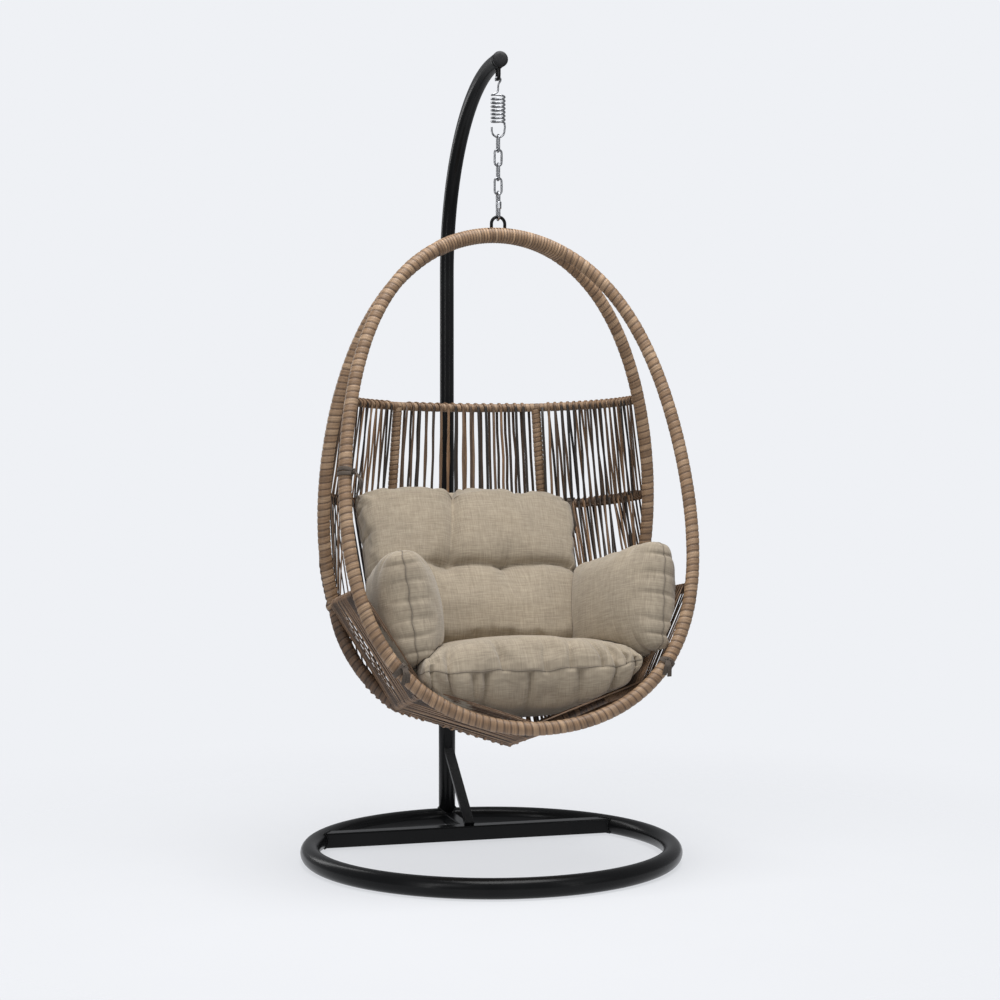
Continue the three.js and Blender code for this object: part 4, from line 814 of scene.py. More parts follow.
def knob(name, sign, seed, node):
    centre = KNOB * np.array([sign, 1, 1])
    rng = np.random.default_rng(seed)
    parts, tone, lay = [], [], []
    angle = np.linspace(0, FULL_TURN, RING_STOPS, endpoint=False)[:, None]
    section = (np.arange(RING_SIDES) / RING_SIDES * FULL_TURN)[:, None]
    for _ in range(KNOB_TURNS):
        axis = unit(np.array([0.9 * sign, -0.2, 0.35]) + rng.normal(0, 0.42, 3))
        first = unit(np.cross(axis, [0.2, 0.9, 0.4]))
        shift = rng.uniform(-0.009, 0.009)
        size = math.sqrt(KNOB_RADIUS ** 2 - shift ** 2)
        from_centre = axis * shift + size * (np.cos(angle) * first + np.sin(angle) * np.cross(axis, first))
        points = (centre + from_centre[:, None] + unit(from_centre)[:, None] * THICK_HALF * np.sin(section)
                  + axis * FLAT_HALF * np.cos(section)).reshape(-1, 3)
        parts.append((points, ring_faces(RING_STOPS, RING_SIDES, True)))
        tone += [rng.random()] * len(points)
        lay += [(FLAT_HALF * math.cos(s), a * size, 0) for a in angle[:, 0] for s in section[:, 0]]
    depth = np.tile(0.35 + 0.65 * np.abs(np.sin(section[:, 0])), KNOB_TURNS * RING_STOPS)
    core, core_faces = tube([centre + Z * z for z in (-0.0165, -0.012, -0.006, 0, 0.006, 0.012, 0.0165)],
                            [0.006, 0.0125, 0.0165, 0.0178, 0.0165, 0.0125, 0.006], 20, across=X)
    points, faces = joined(*parts, (core, core_faces))
    values = {"tone": tone + [0.3] * len(core), "depth": np.concatenate([depth, np.full(len(core), 0.2)]),
              "lay": np.concatenate([lay, core - centre])}
    make_piece(name, points, faces, "wicker", "basket", [node], values=values)


knob("knob_winding_left", -1, 12, "corner_knob_left")
knob("knob_winding_right", 1, 11, "corner_knob_right")
print("knobs of", KNOB_TURNS, "turns each")

# %% [markdown]
# ## Stringing the bays
# Between the rails, the hoops and the ribs the strand runs to and fro: down in front of one
# rail, round the next one, and up behind. That gives each bay two layers, half a step
# apart, and it is why the light stripes seem to cross when the chair is seen from one side.
# Single sticks would be simpler, but their ends would show, so one long ribbon per bay is
# strung in the same order here.

# %% Strung bay
STRAND_WIDTH, STRAND_THICK = 0.0072, 0.0026
RAIL_REACH, HOOP_REACH, RIB_REACH = RAIL_SKIN + 0.0022, HOOP_SKIN + 0.0026, 0.0128
RUN_STOPS = np.linspace(0, 1, 9)[:, None]
ROUND_STOPS = np.array([[0.17], [0.34], [0.5], [0.66], [0.83]])
# The section of a strand, as shares of its width and thickness, and how much shade each point of it is in.
SECTION = np.array([(-0.5, 0.0), (-0.42, 0.38), (-0.18, 0.5), (0.18, 0.5), (0.42, 0.38),
                    (0.5, 0.0), (0.42, -0.38), (0.18, -0.5), (-0.18, -0.5), (-0.42, -0.38)])
SECTION_DEPTH = np.array([0.55, 0.9, 1, 1, 0.9] * 2)


def ribbon(centres, normals, width, thick):
    """Points and faces of a flat, slightly domed strand with both ends closed."""
    along = unit(np.gradient(centres, axis=0))
    normals = unit(normals - np.sum(normals * along, 1)[:, None] * along)
    wide = np.cross(along, normals)
    points = np.stack([centres + wide * a * width + normals * b * thick for a, b in SECTION], 1).reshape(-1, 3)
    return points, ring_faces(len(centres), len(SECTION)) + end_faces(len(centres), len(SECTION))


def strung_bay(name, start_at, end_at, outward, runs, radii, slot, replaced, seed, slant=0.0, darkest=0.0):
    """start_at and end_at give the two edges from 0 to 1; outward gives the way out of the basket."""
    rng = np.random.default_rng(seed)
    shares, layer = (np.arange(runs) + 0.5) / runs, np.where(np.arange(runs) % 2, 1, -1)
    starts = [start_at(share) for share in shares]
    ends = [end_at(share) for share in np.clip(shares + slant * layer / runs, 0, 1)]
    centres, normals, tones, depths = [], [], [], []
    for k, side in enumerate(layer):
        a, b = starts[k], ends[k]
        down = unit(b - a)
        out = outward(shares[k])
        out = unit(out - down * (out @ down))
        # A low tone gives a near-black run, which is painted shade; darkest keeps a bay clear of those tones.
        tone = darkest + (1 - darkest) * rng.random()
        wobble, sway = rng.normal(0, 0.0009, 3), rng.normal(0, 0.0007)
        (first, first_radius), (last, last_radius) = ((a, radii[0]), (b, radii[1]))[::-side]
        t, middle = RUN_STOPS, np.sin(math.pi * RUN_STOPS)
        shake = middle * (wobble[0] + wobble[1] * np.sin(3 * math.pi * t))
        centres.append(first + (last - first) * t + out * side * (first_radius + (last_radius - first_radius) * t)
                       + np.cross(down, out) * shake + out * sway * middle)
        normals.append(np.tile(out * side, (len(t), 1)))
        tones += [tone] * len(t)
        depths += [0.7] + [1.0] * (len(t) - 2) + [0.7]
        if k < runs - 1:
            here, there, radius, way = ((b, ends[k + 1], radii[1], down) if side < 0
                                        else (a, starts[k + 1], radii[0], -down))
            ray = out * side * np.cos(math.pi * ROUND_STOPS) + way * np.sin(math.pi * ROUND_STOPS)
            centres.append(here + (there - here) * ROUND_STOPS + ray * radius)
            normals.append(ray)
            tones += [0.85] * len(ray)
            depths += [0.8] * len(ray)
    centres, normals = np.concatenate(centres), np.concatenate(normals)
    reach, sides = reach_along(centres), len(SECTION)
    values = {
        "tone": np.repeat(tones, sides),
        "depth": np.outer(depths, SECTION_DEPTH).ravel(),
        "lay": np.stack([np.tile(SECTION[:, 0] * STRAND_WIDTH, len(centres)), np.repeat(reach, sides),
                         np.zeros(len(centres) * sides)], 1),
    }
    make_piece(name, *ribbon(centres, normals, STRAND_WIDTH, STRAND_THICK), slot, "basket", replaced,
               strand_wicker, values)
    return reach[-1]


def span_of(curve, start, end):
    """A curve by a share from 0 to 1 of the way between two of its angles."""
    return lambda share: curve(start + (end - start) * share)


def fan(degrees):
    """The way out of the back at each angle of the rails."""
    return np.array([math.sin(math.radians(degrees)), math.cos(math.radians(degrees)), 0.0])


def low_edge(degrees, knob_at=61, climb=0.6):
    """The bottom edge of the low bays: past the knob it climbs the rear hoop."""
    if abs(degrees) < knob_at:
        return on_lower(degrees)
    return on_rear(math.copysign(KNOB_ANGLE - 1 - climb * (abs(degrees) - knob_at), degrees))


total_strand = 0.0
EDGES = (lambda degrees: on_rail("top", degrees), lambda degrees: on_rail("middle", degrees), low_edge)
for row, slot, edges, outer, runs, radii, seed in (
        ("upper", "wicker", EDGES[:2], 86.5, 38, (RAIL_REACH, RAIL_REACH), 20),
        ("lower", "dark_wicker", EDGES[1:], 79, 36, (RAIL_REACH + 0.001, HOOP_REACH), 30)):
    for name, start, end, count in (("left", -outer, -31.5, runs), ("centre", -26.5, 26.5, 34),
                                    ("right", 31.5, outer, runs)):
        start_at, end_at, outward = (span_of(curve, start, end) for curve in (*edges, fan))
        total_strand += strung_bay(f"{row}_strands_{name}", start_at, end_at, outward, count, radii, slot,
                                   [f"{row}_weave_{name}"], seed + len(name), 0.0 if name == "centre" else 0.9)
print("back strung with", round(total_strand, 1), "m of strand")

# %% [markdown]
# ## Bottom bays
# Under the seat the same strand is strung between neighbouring ribs, four bays in all. It
# stops a little short of both ends of each rib, where the hoops need the room.

# %% Bottom bays
RIB_MARGIN = 0.02


def rib_span(name):
    start, end = bottom_ribs[name]
    gap = RIB_MARGIN / np.linalg.norm(end - start)
    return lambda share: start + (end - start) * (gap + (1 - 2 * gap) * share)


for name, sign in SIDES_OF_CHAIR:
    for bay, first, second, runs in (("side", f"side_rib_{name}", f"corner_rib_{name}", 44),
                                     ("seat", f"corner_rib_{name}", "centre_rib", 32)):
        start_at, end_at = rib_span(first), rib_span(second)
        normal = unit(np.cross(start_at(1) - start_at(0), end_at(0.5) - start_at(0.5)))
        normal = normal if normal[2] < 0 else -normal
        total_strand += strung_bay(f"{bay}_strands_{name}", start_at, end_at, lambda share: normal, runs,
                                   (RIB_REACH, RIB_REACH), "dark_wicker", [f"{bay}_weave_{name}"],
                                   40 + len(bay) + sign, darkest=0.3)
print("strand in the strung bays", round(total_strand, 1), "m")

# %% [markdown]
# ## The cushions
# Each cushion is a cotton bag, filled and sewn shut along one seam that runs round its middle. Two
# flat cloths that are blown up like that pull their sides in and pucker at the seam, which no
# smooth formula gives. So each one starts as two grids sewn at their edge, is inflated by
# a short cloth simulation, and then gets its gathers, tufts and fold. In between it is
# pressed against the room its CAD solid leaves between the hoops and its neighbours.

# %% Cushion shapes
# crown is how far the front and the back stand out, pull how far the sides are drawn in.
CUSHIONS = {
    "seat": {"node": "seat_cushion", "centre": (-0.006, -0.228, 0.479), "wide": (1, 0, 0), "face": (0, 0.191, 0.982),
             "half": (0.286, 0.178), "crown": (0.090, 0.092), "pull": (0.05, 0.05), "corner": 0.05, "grid": (104, 60)},
    "back": {"node": "back_cushion", "centre": (-0.046, 0.018, 0.716), "wide": (1, 0, -0.03), "face": (0, -0.866, 0.5),
             "half": (0.316, 0.230), "crown": (0.084, 0.074), "pull": (0.04, -0.14), "corner": 0.05, "grid": (104, 84)},
    "left": {"node": "arm_cushion_left", "centre": (-0.261, -0.172, 0.626), "wide": (-0.15, -1, 0.18),
             "face": (1, 0, 0.12)},
    "right": {"node": "arm_cushion_right", "centre": (0.277, -0.176, 0.632), "wide": (0.34, -1, 0.27),
              "face": (-1, 0, 0.12)},
}
for name in ("left", "right"):
    CUSHIONS[name].update(half=(0.180, 0.142), crown=(0.090, 0.090), pull=(0.05, 0.03), corner=0.11, grid=(64, 56))
SLACK, CROWN_SHARE, FULLNESS = 0.97, 0.9, 0.6


def cushion_axes(facts):
    wide = unit(facts["wide"])
    face = np.asarray(facts["face"], float)
    face = unit(face - wide * (face @ wide))
    return wide, np.cross(face, wide), face


def cushion_grid(facts):
    """Points, faces and seam shares of a filled bag: the front grid, then the inside of the back one."""
    columns, rows = facts["grid"]
    wide, tall, face = cushion_axes(facts)
    s, t = np.meshgrid(*(np.sin((np.arange(n + 1) / n - 0.5) * math.pi) for n in (columns, rows)), indexing="ij")
    inner = (slice(1, -1), slice(1, -1))
    index = np.arange(s.size).reshape(s.shape)
    back = index.copy()
    back[inner] = s.size + np.arange(s[inner].size).reshape(s[inner].shape)
    faces = np.concatenate([
        np.stack([grid[:-1, :-1], grid[1:, :-1], grid[1:, 1:], grid[:-1, 1:]], -1).reshape(-1, 4)[:, ::way]
        for grid, way in ((index, 1), (back, -1))])
    bulge = np.sqrt(np.maximum((1 - s ** 2) * (1 - t ** 2), 0)) ** FULLNESS

    def side_of_bag(height, s, t, bulge):
        rounding = SLACK * (1 - facts["corner"] * (s * t) ** 4)
        x = s * facts["half"][0] * (1 - facts["pull"][0] * (1 - t ** 2)) * rounding
        y = t * facts["half"][1] * (1 - facts["pull"][1] * (1 - s ** 2)) * rounding
        z = height * CROWN_SHARE * bulge
        return (facts["centre"] + x[..., None] * wide + y[..., None] * tall + z[..., None] * face).reshape(-1, 3)

    front = side_of_bag(facts["crown"][0], s, t, bulge)
    rear = side_of_bag(-facts["crown"][1], s[inner], t[inner], bulge[inner])
    shares = np.concatenate([np.stack([s[part], t[part]], -1).reshape(-1, 2) for part in (..., inner)])
    is_front = np.repeat([1.0, 0.0], [len(front), len(rear)])
    rim = np.concatenate([index[:, 0], index[-1, 1:], index[-2::-1, -1], index[0, -2:0:-1]])
    return np.concatenate([front, rear]), faces, shares, is_front, rim


print("cushions:", {name: facts["half"] for name, facts in CUSHIONS.items()})

# %% [markdown]
# ## Blowing up a bag
# The simulation needs only pressure: no gravity, because each cushion is held by the basket. The
# cloth is allowed to be a little larger than the bag, which is what makes it pucker beside the
# seam. No point may move further than a cap, so that the cushion keeps its size. After it,
# every face is cut in four, because the stitching needs finer points than the pressure does.

# %% Inflate a cushion
CLOTH = {"quality": 5, "mass": 0.25, "tension_stiffness": 20, "compression_stiffness": 12, "shear_stiffness": 6,
         "bending_stiffness": 0.12, "shrink_min": -0.045, "use_pressure": True, "uniform_pressure_force": 4.0}
CLOTH_FRAMES, CLOTH_CAP = 20, 0.024


def new_bag(points, faces):
    mesh = bpy.data.meshes.new("bag")
    mesh.from_pydata(points.tolist(), [], faces.tolist())
    return placed("bag", mesh)


def shaped(bag):
    return bag.evaluated_get(bpy.context.evaluated_depsgraph_get()).data


def thrown_away(bag):
    mesh = bag.data
    bpy.data.objects.remove(bag)
    bpy.data.meshes.remove(mesh)


def inflated(points, faces):
    bag = new_bag(points, faces)
    cloth = bag.modifiers.new("cloth", "CLOTH")
    for key, value in CLOTH.items():
        setattr(cloth.settings, key, value)
    cloth.settings.effector_weights.gravity = 0.0
    cloth.point_cache.frame_start, cloth.point_cache.frame_end = 1, CLOTH_FRAMES
    for step in range(1, CLOTH_FRAMES + 1):
        bpy.context.scene.frame_set(step)
    moved = np.zeros(points.size)
    shaped(bag).vertices.foreach_get("co", moved)
    bpy.context.scene.frame_set(1)
    thrown_away(bag)
    travel = moved.reshape(-1, 3) - points
    length = np.linalg.norm(travel, axis=1, keepdims=True)
    return points + travel * np.minimum(1, CLOTH_CAP / np.maximum(length, 1e-9))


def finer(points, faces, shares, is_front, seam):
    """The same bag with every face cut in four and rounded, its values carried along, and the seam as a loop."""
    bag = new_bag(points, faces)
    store(bag.data, "shares", np.concatenate([shares, is_front[:, None]], 1))
    store(bag.data, "rims", np.stack([seam, seam, seam], 1))
    bag.modifiers.new("finer", "SUBSURF").levels = 1
    result = shaped(bag)
    read = lambda source, key: np.array([getattr(one, key)[:] for one in source])
    points, faces = read(result.vertices, "co"), read(result.polygons, "vertices")
    carried = read(result.attributes["shares"].data, "vector")
    seam = read(result.attributes["rims"].data, "vector")[:, 0]
    joins = {}
    for start, end in (tuple(edge.vertices) for edge in result.edges):
        if seam[start] > 0.95 and seam[end] > 0.95:
            joins.setdefault(start, []).append(end)
            joins.setdefault(end, []).append(start)
    start = next(iter(joins))
    loop, last, here = [start], None, start
    while True:
        last, here = here, next(spot for spot in joins[here] if spot != last)
        if here == start or len(loop) > len(joins):
            break
        loop.append(here)
    thrown_away(bag)
    return points, faces, carried[:, :2], carried[:, 2], seam, np.array(loop)


def outward_normals(points, faces):
    a, b, c, d = (points[faces[:, k]] for k in range(4))
    normal = np.cross(c - a, d - b)
    total = np.zeros_like(points)
    for k in range(4):
        np.add.at(total, faces[:, k], normal)
    total = unit(total + 1e-12)
    return total if np.sum((points - points.mean(0)) * total) > 0 else -total


print("bags are blown up for", CLOTH_FRAMES, "frames, unless this is a quick look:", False)

# %% [markdown]
# ## Gathers, tufts and fold
# Gathers are short valleys that run out from the seam; tufts are dimples tied through the filling;
# the fold is a scalloped line that joins them. A bump in the finish would leave the outline
# smooth, so they are cut into the mesh. They are placed by their share of the cushion's width
# and height, read off the photograph.

# %% Sewn detail
# Each gather: its share along the edge, which edge, how far it reaches, how deep it is in
# millimetres, and the face it is on: 1 the front or top, -1 the back or underside, 0 both.
LONG_EDGE_GATHERS = {
    "seat": [(-0.9, -1, 0.05, 7, 0), (-0.73, -1, 0.07, 10, 0), (-0.51, -1, 0.05, 9, -1), (-0.40, -1, 0.08, 12, -1),
             (-0.25, -1, 0.07, 10, 1), (-0.02, -1, 0.07, 11, -1), (0.12, -1, 0.04, 5, 1), (0.36, -1, 0.08, 12, 1),
             (0.43, -1, 0.06, 10, -1), (0.62, -1, 0.09, 12, 1), (0.74, -1, 0.07, 12, 0), (0.84, -1, 0.08, 12, 1),
             (0.93, -1, 0.05, 12, 0), (-0.5, 1, 0.05, 6, 1), (0.1, 1, 0.05, 6, 1), (0.6, 1, 0.05, 6, 1)],
    "back": [(-0.11, 1, 0.10, 13, 1), (-0.02, 1, 0.04, 6, 1), (-0.3, 1, 0.03, 5, 0), (0.42, 1, 0.06, 11, 1),
             (0.52, 1, 0.03, 5, 1), (-0.7, 1, 0.03, 5, 0), (0.8, 1, 0.03, 5, 0), (-0.4, -1, 0.05, 6, 0),
             (0.2, -1, 0.05, 6, 0)],
    "left": [(-0.5, 1, 0.05, 5, 1), (0.1, 1, 0.04, 5, 0), (0.62, 1, 0.05, 8, -1), (0.8, 1, 0.04, 7, 1),
             (-0.4, -1, 0.04, 5, 0), (0.4, -1, 0.05, 7, 0), (0.78, -1, 0.05, 9, 0)],
    "right": [(-0.5, 1, 0.05, 5, 1), (0.2, 1, 0.04, 6, 0), (0.66, 1, 0.05, 8, 1), (-0.3, -1, 0.04, 5, 0),
              (0.45, -1, 0.05, 7, 1), (0.75, -1, 0.05, 9, 1)],
}
# Each gather of the short edges: its share along them, its reach and its depth.
END_GATHERS = {
    "left": [(-0.72, 0.025, 7), (-0.42, 0.02, 5), (-0.1, 0.025, 6), (0.2, 0.02, 5), (0.48, 0.03, 7), (0.75, 0.03, 8)],
    "right": [(-0.7, 0.03, 8), (-0.45, 0.03, 7), (0.0, 0.02, 5), (0.35, 0.025, 6), (0.7, 0.03, 8)],
    "back": [(-0.5, 0.03, 6), (-0.1, 0.02, 5), (0.35, 0.02, 5), (0.7, 0.02, 5)],
    "seat": [(-0.5, 0.04, 7), (0.1, 0.03, 6), (0.6, 0.04, 6)],
}
# What a millimetre of depth counts for on the long and on the short edges.
STRENGTH = {"seat": (0.0017, 0.001), "back": (0.0015, 0.001), "left": (0.001, 0.00055), "right": (0.001, 0.0006)}
TUFTS, TUFT_HEIGHT = (-0.25, 0.24), -0.07
FOLD_START, FOLD_END = -0.62, 0.98


def valley(across, width):
    """A sharp crease with soft shoulders."""
    return 0.6 * np.exp(-np.abs(across) / width) + 0.4 * np.exp(-(across / (2.4 * width)) ** 2)


def gathered(name, shares, is_front):
    half_wide, half_tall = CUSHIONS[name]["half"]
    long_strength, end_strength = STRENGTH[name]
    s, t = shares[:, 0], shares[:, 1]
    inward = np.zeros(len(s))
    for at, edge, reach, depth, side in LONG_EDGE_GATHERS[name]:
        away = (1 - edge * t) * half_tall
        across = (s - at) * half_wide - 0.25 * away * math.sin(at * 7)
        here = 1 if side == 0 else (is_front > 0.5) == (side > 0)
        inward += here * depth * long_strength * valley(across, 0.004 + 0.10 * away) * np.exp(-(away / reach) ** 1.5)
    for at, reach, depth in END_GATHERS[name]:
        for edge in (-1, 1):
            away = (1 - edge * s) * half_wide
            across = (t - at) * half_tall - 0.3 * away * math.sin(at * 9)
            inward += depth * end_strength * valley(across, 0.003 + 0.12 * away) * np.exp(-(away / reach) ** 1.5)
    return inward


def tufted(shares):
    """The back cushion's two tufts, the scalloped fold through them and the creases above them."""
    s, t = shares[:, 0], shares[:, 1]
    line = np.full(len(s), TUFT_HEIGHT)
    stops = (FOLD_START, *TUFTS, FOLD_END)
    for a, b in zip(stops[:-1], stops[1:]):
        share = np.clip((s - a) / (b - a), 0, 1)
        line += (0.055 if a > 0 else 0.025) * np.sin(math.pi * share) ** 0.8 * ((s > a) & (s < b))
    above = t - line
    reach = np.clip((s - FOLD_START) / 0.3, 0, 1) * np.clip((FOLD_END + 0.05 - s) / 0.12, 0, 1)
    fold = np.where(above > 0, 0.022 * np.exp(-above / 0.035) + 0.006 * np.exp(-above / 0.16),
                    0.028 * np.exp(above / 0.075))
    off = np.min(np.abs(s[:, None] - np.array(TUFTS)), axis=1)
    height = t - TUFT_HEIGHT
    tuft = 0.024 * np.exp(-np.sqrt(off ** 2 + (0.8 * height) ** 2) / 0.11)
    over_tuft = np.clip(height / 0.05, 0, 1)
    long_crease = valley(s - TUFTS[0] - 0.10 * np.clip(height / 0.9, 0, 1) ** 0.7, 0.03)
    short_crease = valley(s - 0.28 - 0.12 * np.clip(height, 0, 1), 0.03) * np.clip((0.5 - t) / 0.4, 0, 1)
    return fold * reach + tuft + (0.021 * long_crease + 0.006 * short_crease) * over_tuft


def sewn_detail(name, points, normals, shares, is_front):
    inward = gathered(name, shares, is_front)
    if name == "back":
        inward += is_front * tufted(shares)
    s, t = shares[:, 0], shares[:, 1]
    near_seam = np.exp(-np.minimum(1 - np.abs(s), 1 - np.abs(t)) / 0.10)
    waves = np.sin(9.0 * s + 2.0 * t) + 0.7 * np.sin(21.0 * s + 1.3) + 0.7 * np.sin(17.0 * t + 0.4)
    ripple = 0.0022 * waves * near_seam
    if name == "seat":
        # The seat's right end is lifted, as where the arm cushion bunches it up.
        ripple += 0.026 * np.clip(s - 0.35, 0, 1) ** 1.5
    return points - normals * inward[:, None] + ripple[:, None] * cushion_axes(CUSHIONS[name])[2]


print("gathers:", sum(map(len, LONG_EDGE_GATHERS.values())), "long,", sum(map(len, END_GATHERS.values())), "short")

# %% [markdown]
# ## Finding room
# A cushion gives way to what it lies against. Three short functions move points back: out of
# the wound tubes, out of a neighbouring cushion, and towards the CAD solid, softly, so that
# the visible side may bulge a little more than the side that lies on the strands.

# %% Room between tubes and neighbours
def nearest(tree, point):
    """The closest spot of a surface, its normal, and the way from it to the point."""
    near, normal, _, _ = tree.find_nearest(Vector(point))
    return near, normal, Vector(point) - near


def pressed_into(points, node, slack):
    """Points that stand outside the CAD solid by more than a soft allowance come back to it."""
    solid = nodes[node].data
    tree = BVHTree.FromPolygons([v.co[:] for v in solid.vertices], [p.vertices[:] for p in solid.polygons])
    out = points.copy()
    for i, point in enumerate(points):
        near, normal, away = nearest(tree, point)
        gap = away.length
        if away.dot(normal) > 0 and gap > 1e-6:
            out[i] = near + away * (slack[i] * (1 - math.exp(-gap / slack[i])) / gap)
    return out


def beside(points, neighbours, clear=0.0015, deepest=0.09):
    """Points that have got into a neighbouring cushion come back to its surface."""
    out = points.copy()
    for tree in neighbours:
        for i, point in enumerate(out):
            near, normal, away = nearest(tree, point)
            if away.dot(normal) < clear and away.length < deepest:
                out[i] = near + normal * clear
    return out


def clear_of_tubes(points, clear=0.0172, batch=4000):
    """Cloth lies against a wound tube, and never in it."""
    hoops = (on_front(np.linspace(0, 360, 361)), on_rear(np.linspace(-120, 120, 241)),
             on_lower(np.linspace(-90, 90, 181)))
    for path in hoops:
        for start in range(0, len(points), batch):
            part = points[start:start + batch]
            gap = part[:, None] - path[None]
            distance = np.linalg.norm(gap, axis=2)
            rows, closest = np.arange(len(part)), np.argmin(distance, 1)
            least = distance[rows, closest]
            part += gap[rows, closest] * (np.maximum(0, clear - least) / np.maximum(least, 1e-6))[:, None]
    return points


def relaxed(points, faces, rounds):
    """Moves each point half way to the middle of its neighbours."""
    for _ in range(rounds):
        total, count = np.zeros_like(points), np.zeros(len(points))
        for k in range(4):
            a, b = faces[:, k], faces[:, (k + 1) % 4]
            for here, there in ((a, b), (b, a)):
                np.add.at(total, here, points[there])
                np.add.at(count, here, 1)
        points = (points + total / count[:, None]) / 2
    return points


print("a cushion keeps 17 mm from the middle of a hoop")

# %% [markdown]
# ## Sewing the cushions
# The seat goes in first, then the back, then the two at the sides, and each one makes room
# for those before it, as they would when a sitter puts them in. A thin thread along the rim
# is the seam itself.

# %% Sew the cushions
HIDDEN_SLACK, SEEN_SLACK = 0.0015, 0.013
SEAM_THREAD = 0.0012


def make_cushion(name, neighbours):
    facts = CUSHIONS[name]
    points, faces, shares, is_front, rim = cushion_grid(facts)
    points = inflated(points, faces)
    from_seam = 1 - np.max(np.abs(shares), 1)
    seen = np.maximum(is_front, np.exp(-from_seam / 0.12))
    points = pressed_into(points, facts["node"], HIDDEN_SLACK + (SEEN_SLACK - HIDDEN_SLACK) * seen)
    points = beside(clear_of_tubes(points), neighbours)
    points = relaxed(points, faces, 2)
    seam = np.zeros(len(points))
    seam[rim] = 1.0
    points, faces, shares, is_front, seam, rim = finer(points, faces, shares, is_front, seam)
    points = sewn_detail(name, points, outward_normals(points, faces), shares, is_front)
    points = beside(clear_of_tubes(points), neighbours)
    cloth = np.concatenate([shares * facts["half"], (is_front * 0.37)[:, None]], 1)
    piece = make_piece(f"{name}_pillow", points, faces, "cushion_fabric", "basket", [facts["node"]],
                       values={"cloth": cloth, "seam": 0.6 * np.clip((seam - 0.6) / 0.4, 0, 1)})
    line = points[rim]
    line = 0.5 * line + 0.25 * (np.roll(line, 1, 0) + np.roll(line, -1, 0))
    thread, tube_faces = tube(line, SEAM_THREAD, 8, True)
    make_piece(f"{name}_seam", thread, tube_faces, "cushion_fabric", "basket",
               values={"cloth": thread, "seam": np.full(len(thread), 0.75)})
    print(name, "cushion", np.round(points.max(0) - points.min(0), 3))
    return BVHTree.FromPolygons(points.tolist(), faces.tolist())


seat_surface = make_cushion("seat", [])
back_surface = make_cushion("back", [seat_surface])
for name in ("left", "right"):
    make_cushion(name, [seat_surface, back_surface])

# %% [markdown]
# ## Ties
# Short woven tapes hold the cushions to the hoops: a turn round the tube, a flat knot and two
# loose ends. They are thin ribbons that follow their own path, because a simulation would
# lose anything this narrow.

# %% Tapes
TAPE_THICK, TAPE_STOPS = 0.0014, 36
TURN_WIDTH, KNOT_WIDTH, TAIL_WIDTH = 0.0095, 0.009, 0.0105
KNOT_RADIUS = 0.0042


def tape(path, normals, width):
    centres, _ = evenly(path, TAPE_STOPS)
    normals, _ = evenly(normals, TAPE_STOPS)
    points, faces = ribbon(centres, normals, width, TAPE_THICK)
    sides = len(SECTION)
    cloth = np.stack([np.tile(np.linspace(-0.5, 0.5, sides) * width, len(centres)),
                      np.repeat(reach_along(centres), sides), np.zeros(len(points))], 1)
    return points, faces, cloth


def tie(name, centre, along, radius, knot_way, tails, node):
    axis = unit(along)
    out = unit(knot_way - axis * (knot_way @ axis))
    other = np.cross(axis, out)
    ribbons = []
    angle = np.linspace(0, FULL_TURN, 61)[:, None]
    for side in (-1, 1):
        ray = np.cos(angle) * out + np.sin(angle) * other
        shift = side * (0.0035 - 0.0025 * np.sin(angle))
        ribbons.append((centre + ray * (radius + 0.0012) + axis * shift, ray, TURN_WIDTH))
    knot = centre + out * (radius + 0.0065)
    angle = np.linspace(0.2, FULL_TURN - 0.2, 31)[:, None]
    for layer, lean in ((-1, 0.4), (0, -0.5), (1, 1.4)):
        first = unit(other * math.cos(lean) + axis * math.sin(lean))
        ray = np.cos(angle) * out + np.sin(angle) * first
        ring = knot + ray * KNOT_RADIUS + first * 0.0018 * np.sin(2 * angle) + np.cross(out, first) * 0.002 * layer
        ribbons.append((ring, ray, KNOT_WIDTH))
    t = np.linspace(0, 1, 20)[:, None]
    for tail in np.array(tails):
        start, end = knot + out * 0.003, knot + tail
        path = start + (end - start) * t + out * 0.010 * np.sin(math.pi * t) - Z * 0.002 * np.sin(FULL_TURN * t)
        flat = unit(np.cross(tail, np.cross(out, tail)) + 1e-9)
        ribbons.append((path, np.tile(flat, (len(t), 1)), TAIL_WIDTH))
    tapes = [tape(*one) for one in ribbons]
    points, faces = joined(*((tape_points, tape_faces) for tape_points, tape_faces, _ in tapes))
    make_piece(name, points, faces, "tape", "basket", [node],
               values={"cloth": np.concatenate([cloth for _, _, cloth in tapes]), "seam": np.zeros(len(points))})


HOOP_TIE, RAIL_TIE = 0.0168, 0.0135
for name, sign in SIDES_OF_CHAIR:
    tie(f"seat_tape_{name}", on_front(sign * 140.0), on_front(sign * 141.0) - on_front(sign * 139.0), HOOP_TIE,
        np.array((-sign * 0.3, -1, 0.3)), [(-sign * 0.009, -0.003, -0.034), (sign * 0.003, -0.004, -0.038)],
        f"seat_tie_{name}")
tie("back_tape_left", on_front(-90.0), on_front(-89.0) - on_front(-91.0), HOOP_TIE, np.array((0.9, -0.7, 0)),
    [(0.016, 0.004, -0.046), (0.004, -0.010, -0.052)], "back_tie_left")
tie_angle = min(np.arange(33, 60, 0.5), key=lambda degrees: abs(on_rail("middle", degrees)[0] - 0.2745))
tie("back_tape_right", on_rail("middle", tie_angle),
    on_rail("middle", tie_angle + 1) - on_rail("middle", tie_angle - 1), RAIL_TIE, np.array((-0.5, -1, 0.2)),
    [(0.006, -0.040, -0.080), (-0.007, -0.044, -0.092)], "back_tie_right")

# %% [markdown]
# ## What stays from the CAD frame
# The steel tubes inside the windings and the plate under the crown are right as they are. They
# are hidden by what is wound round them, and only need their finish.

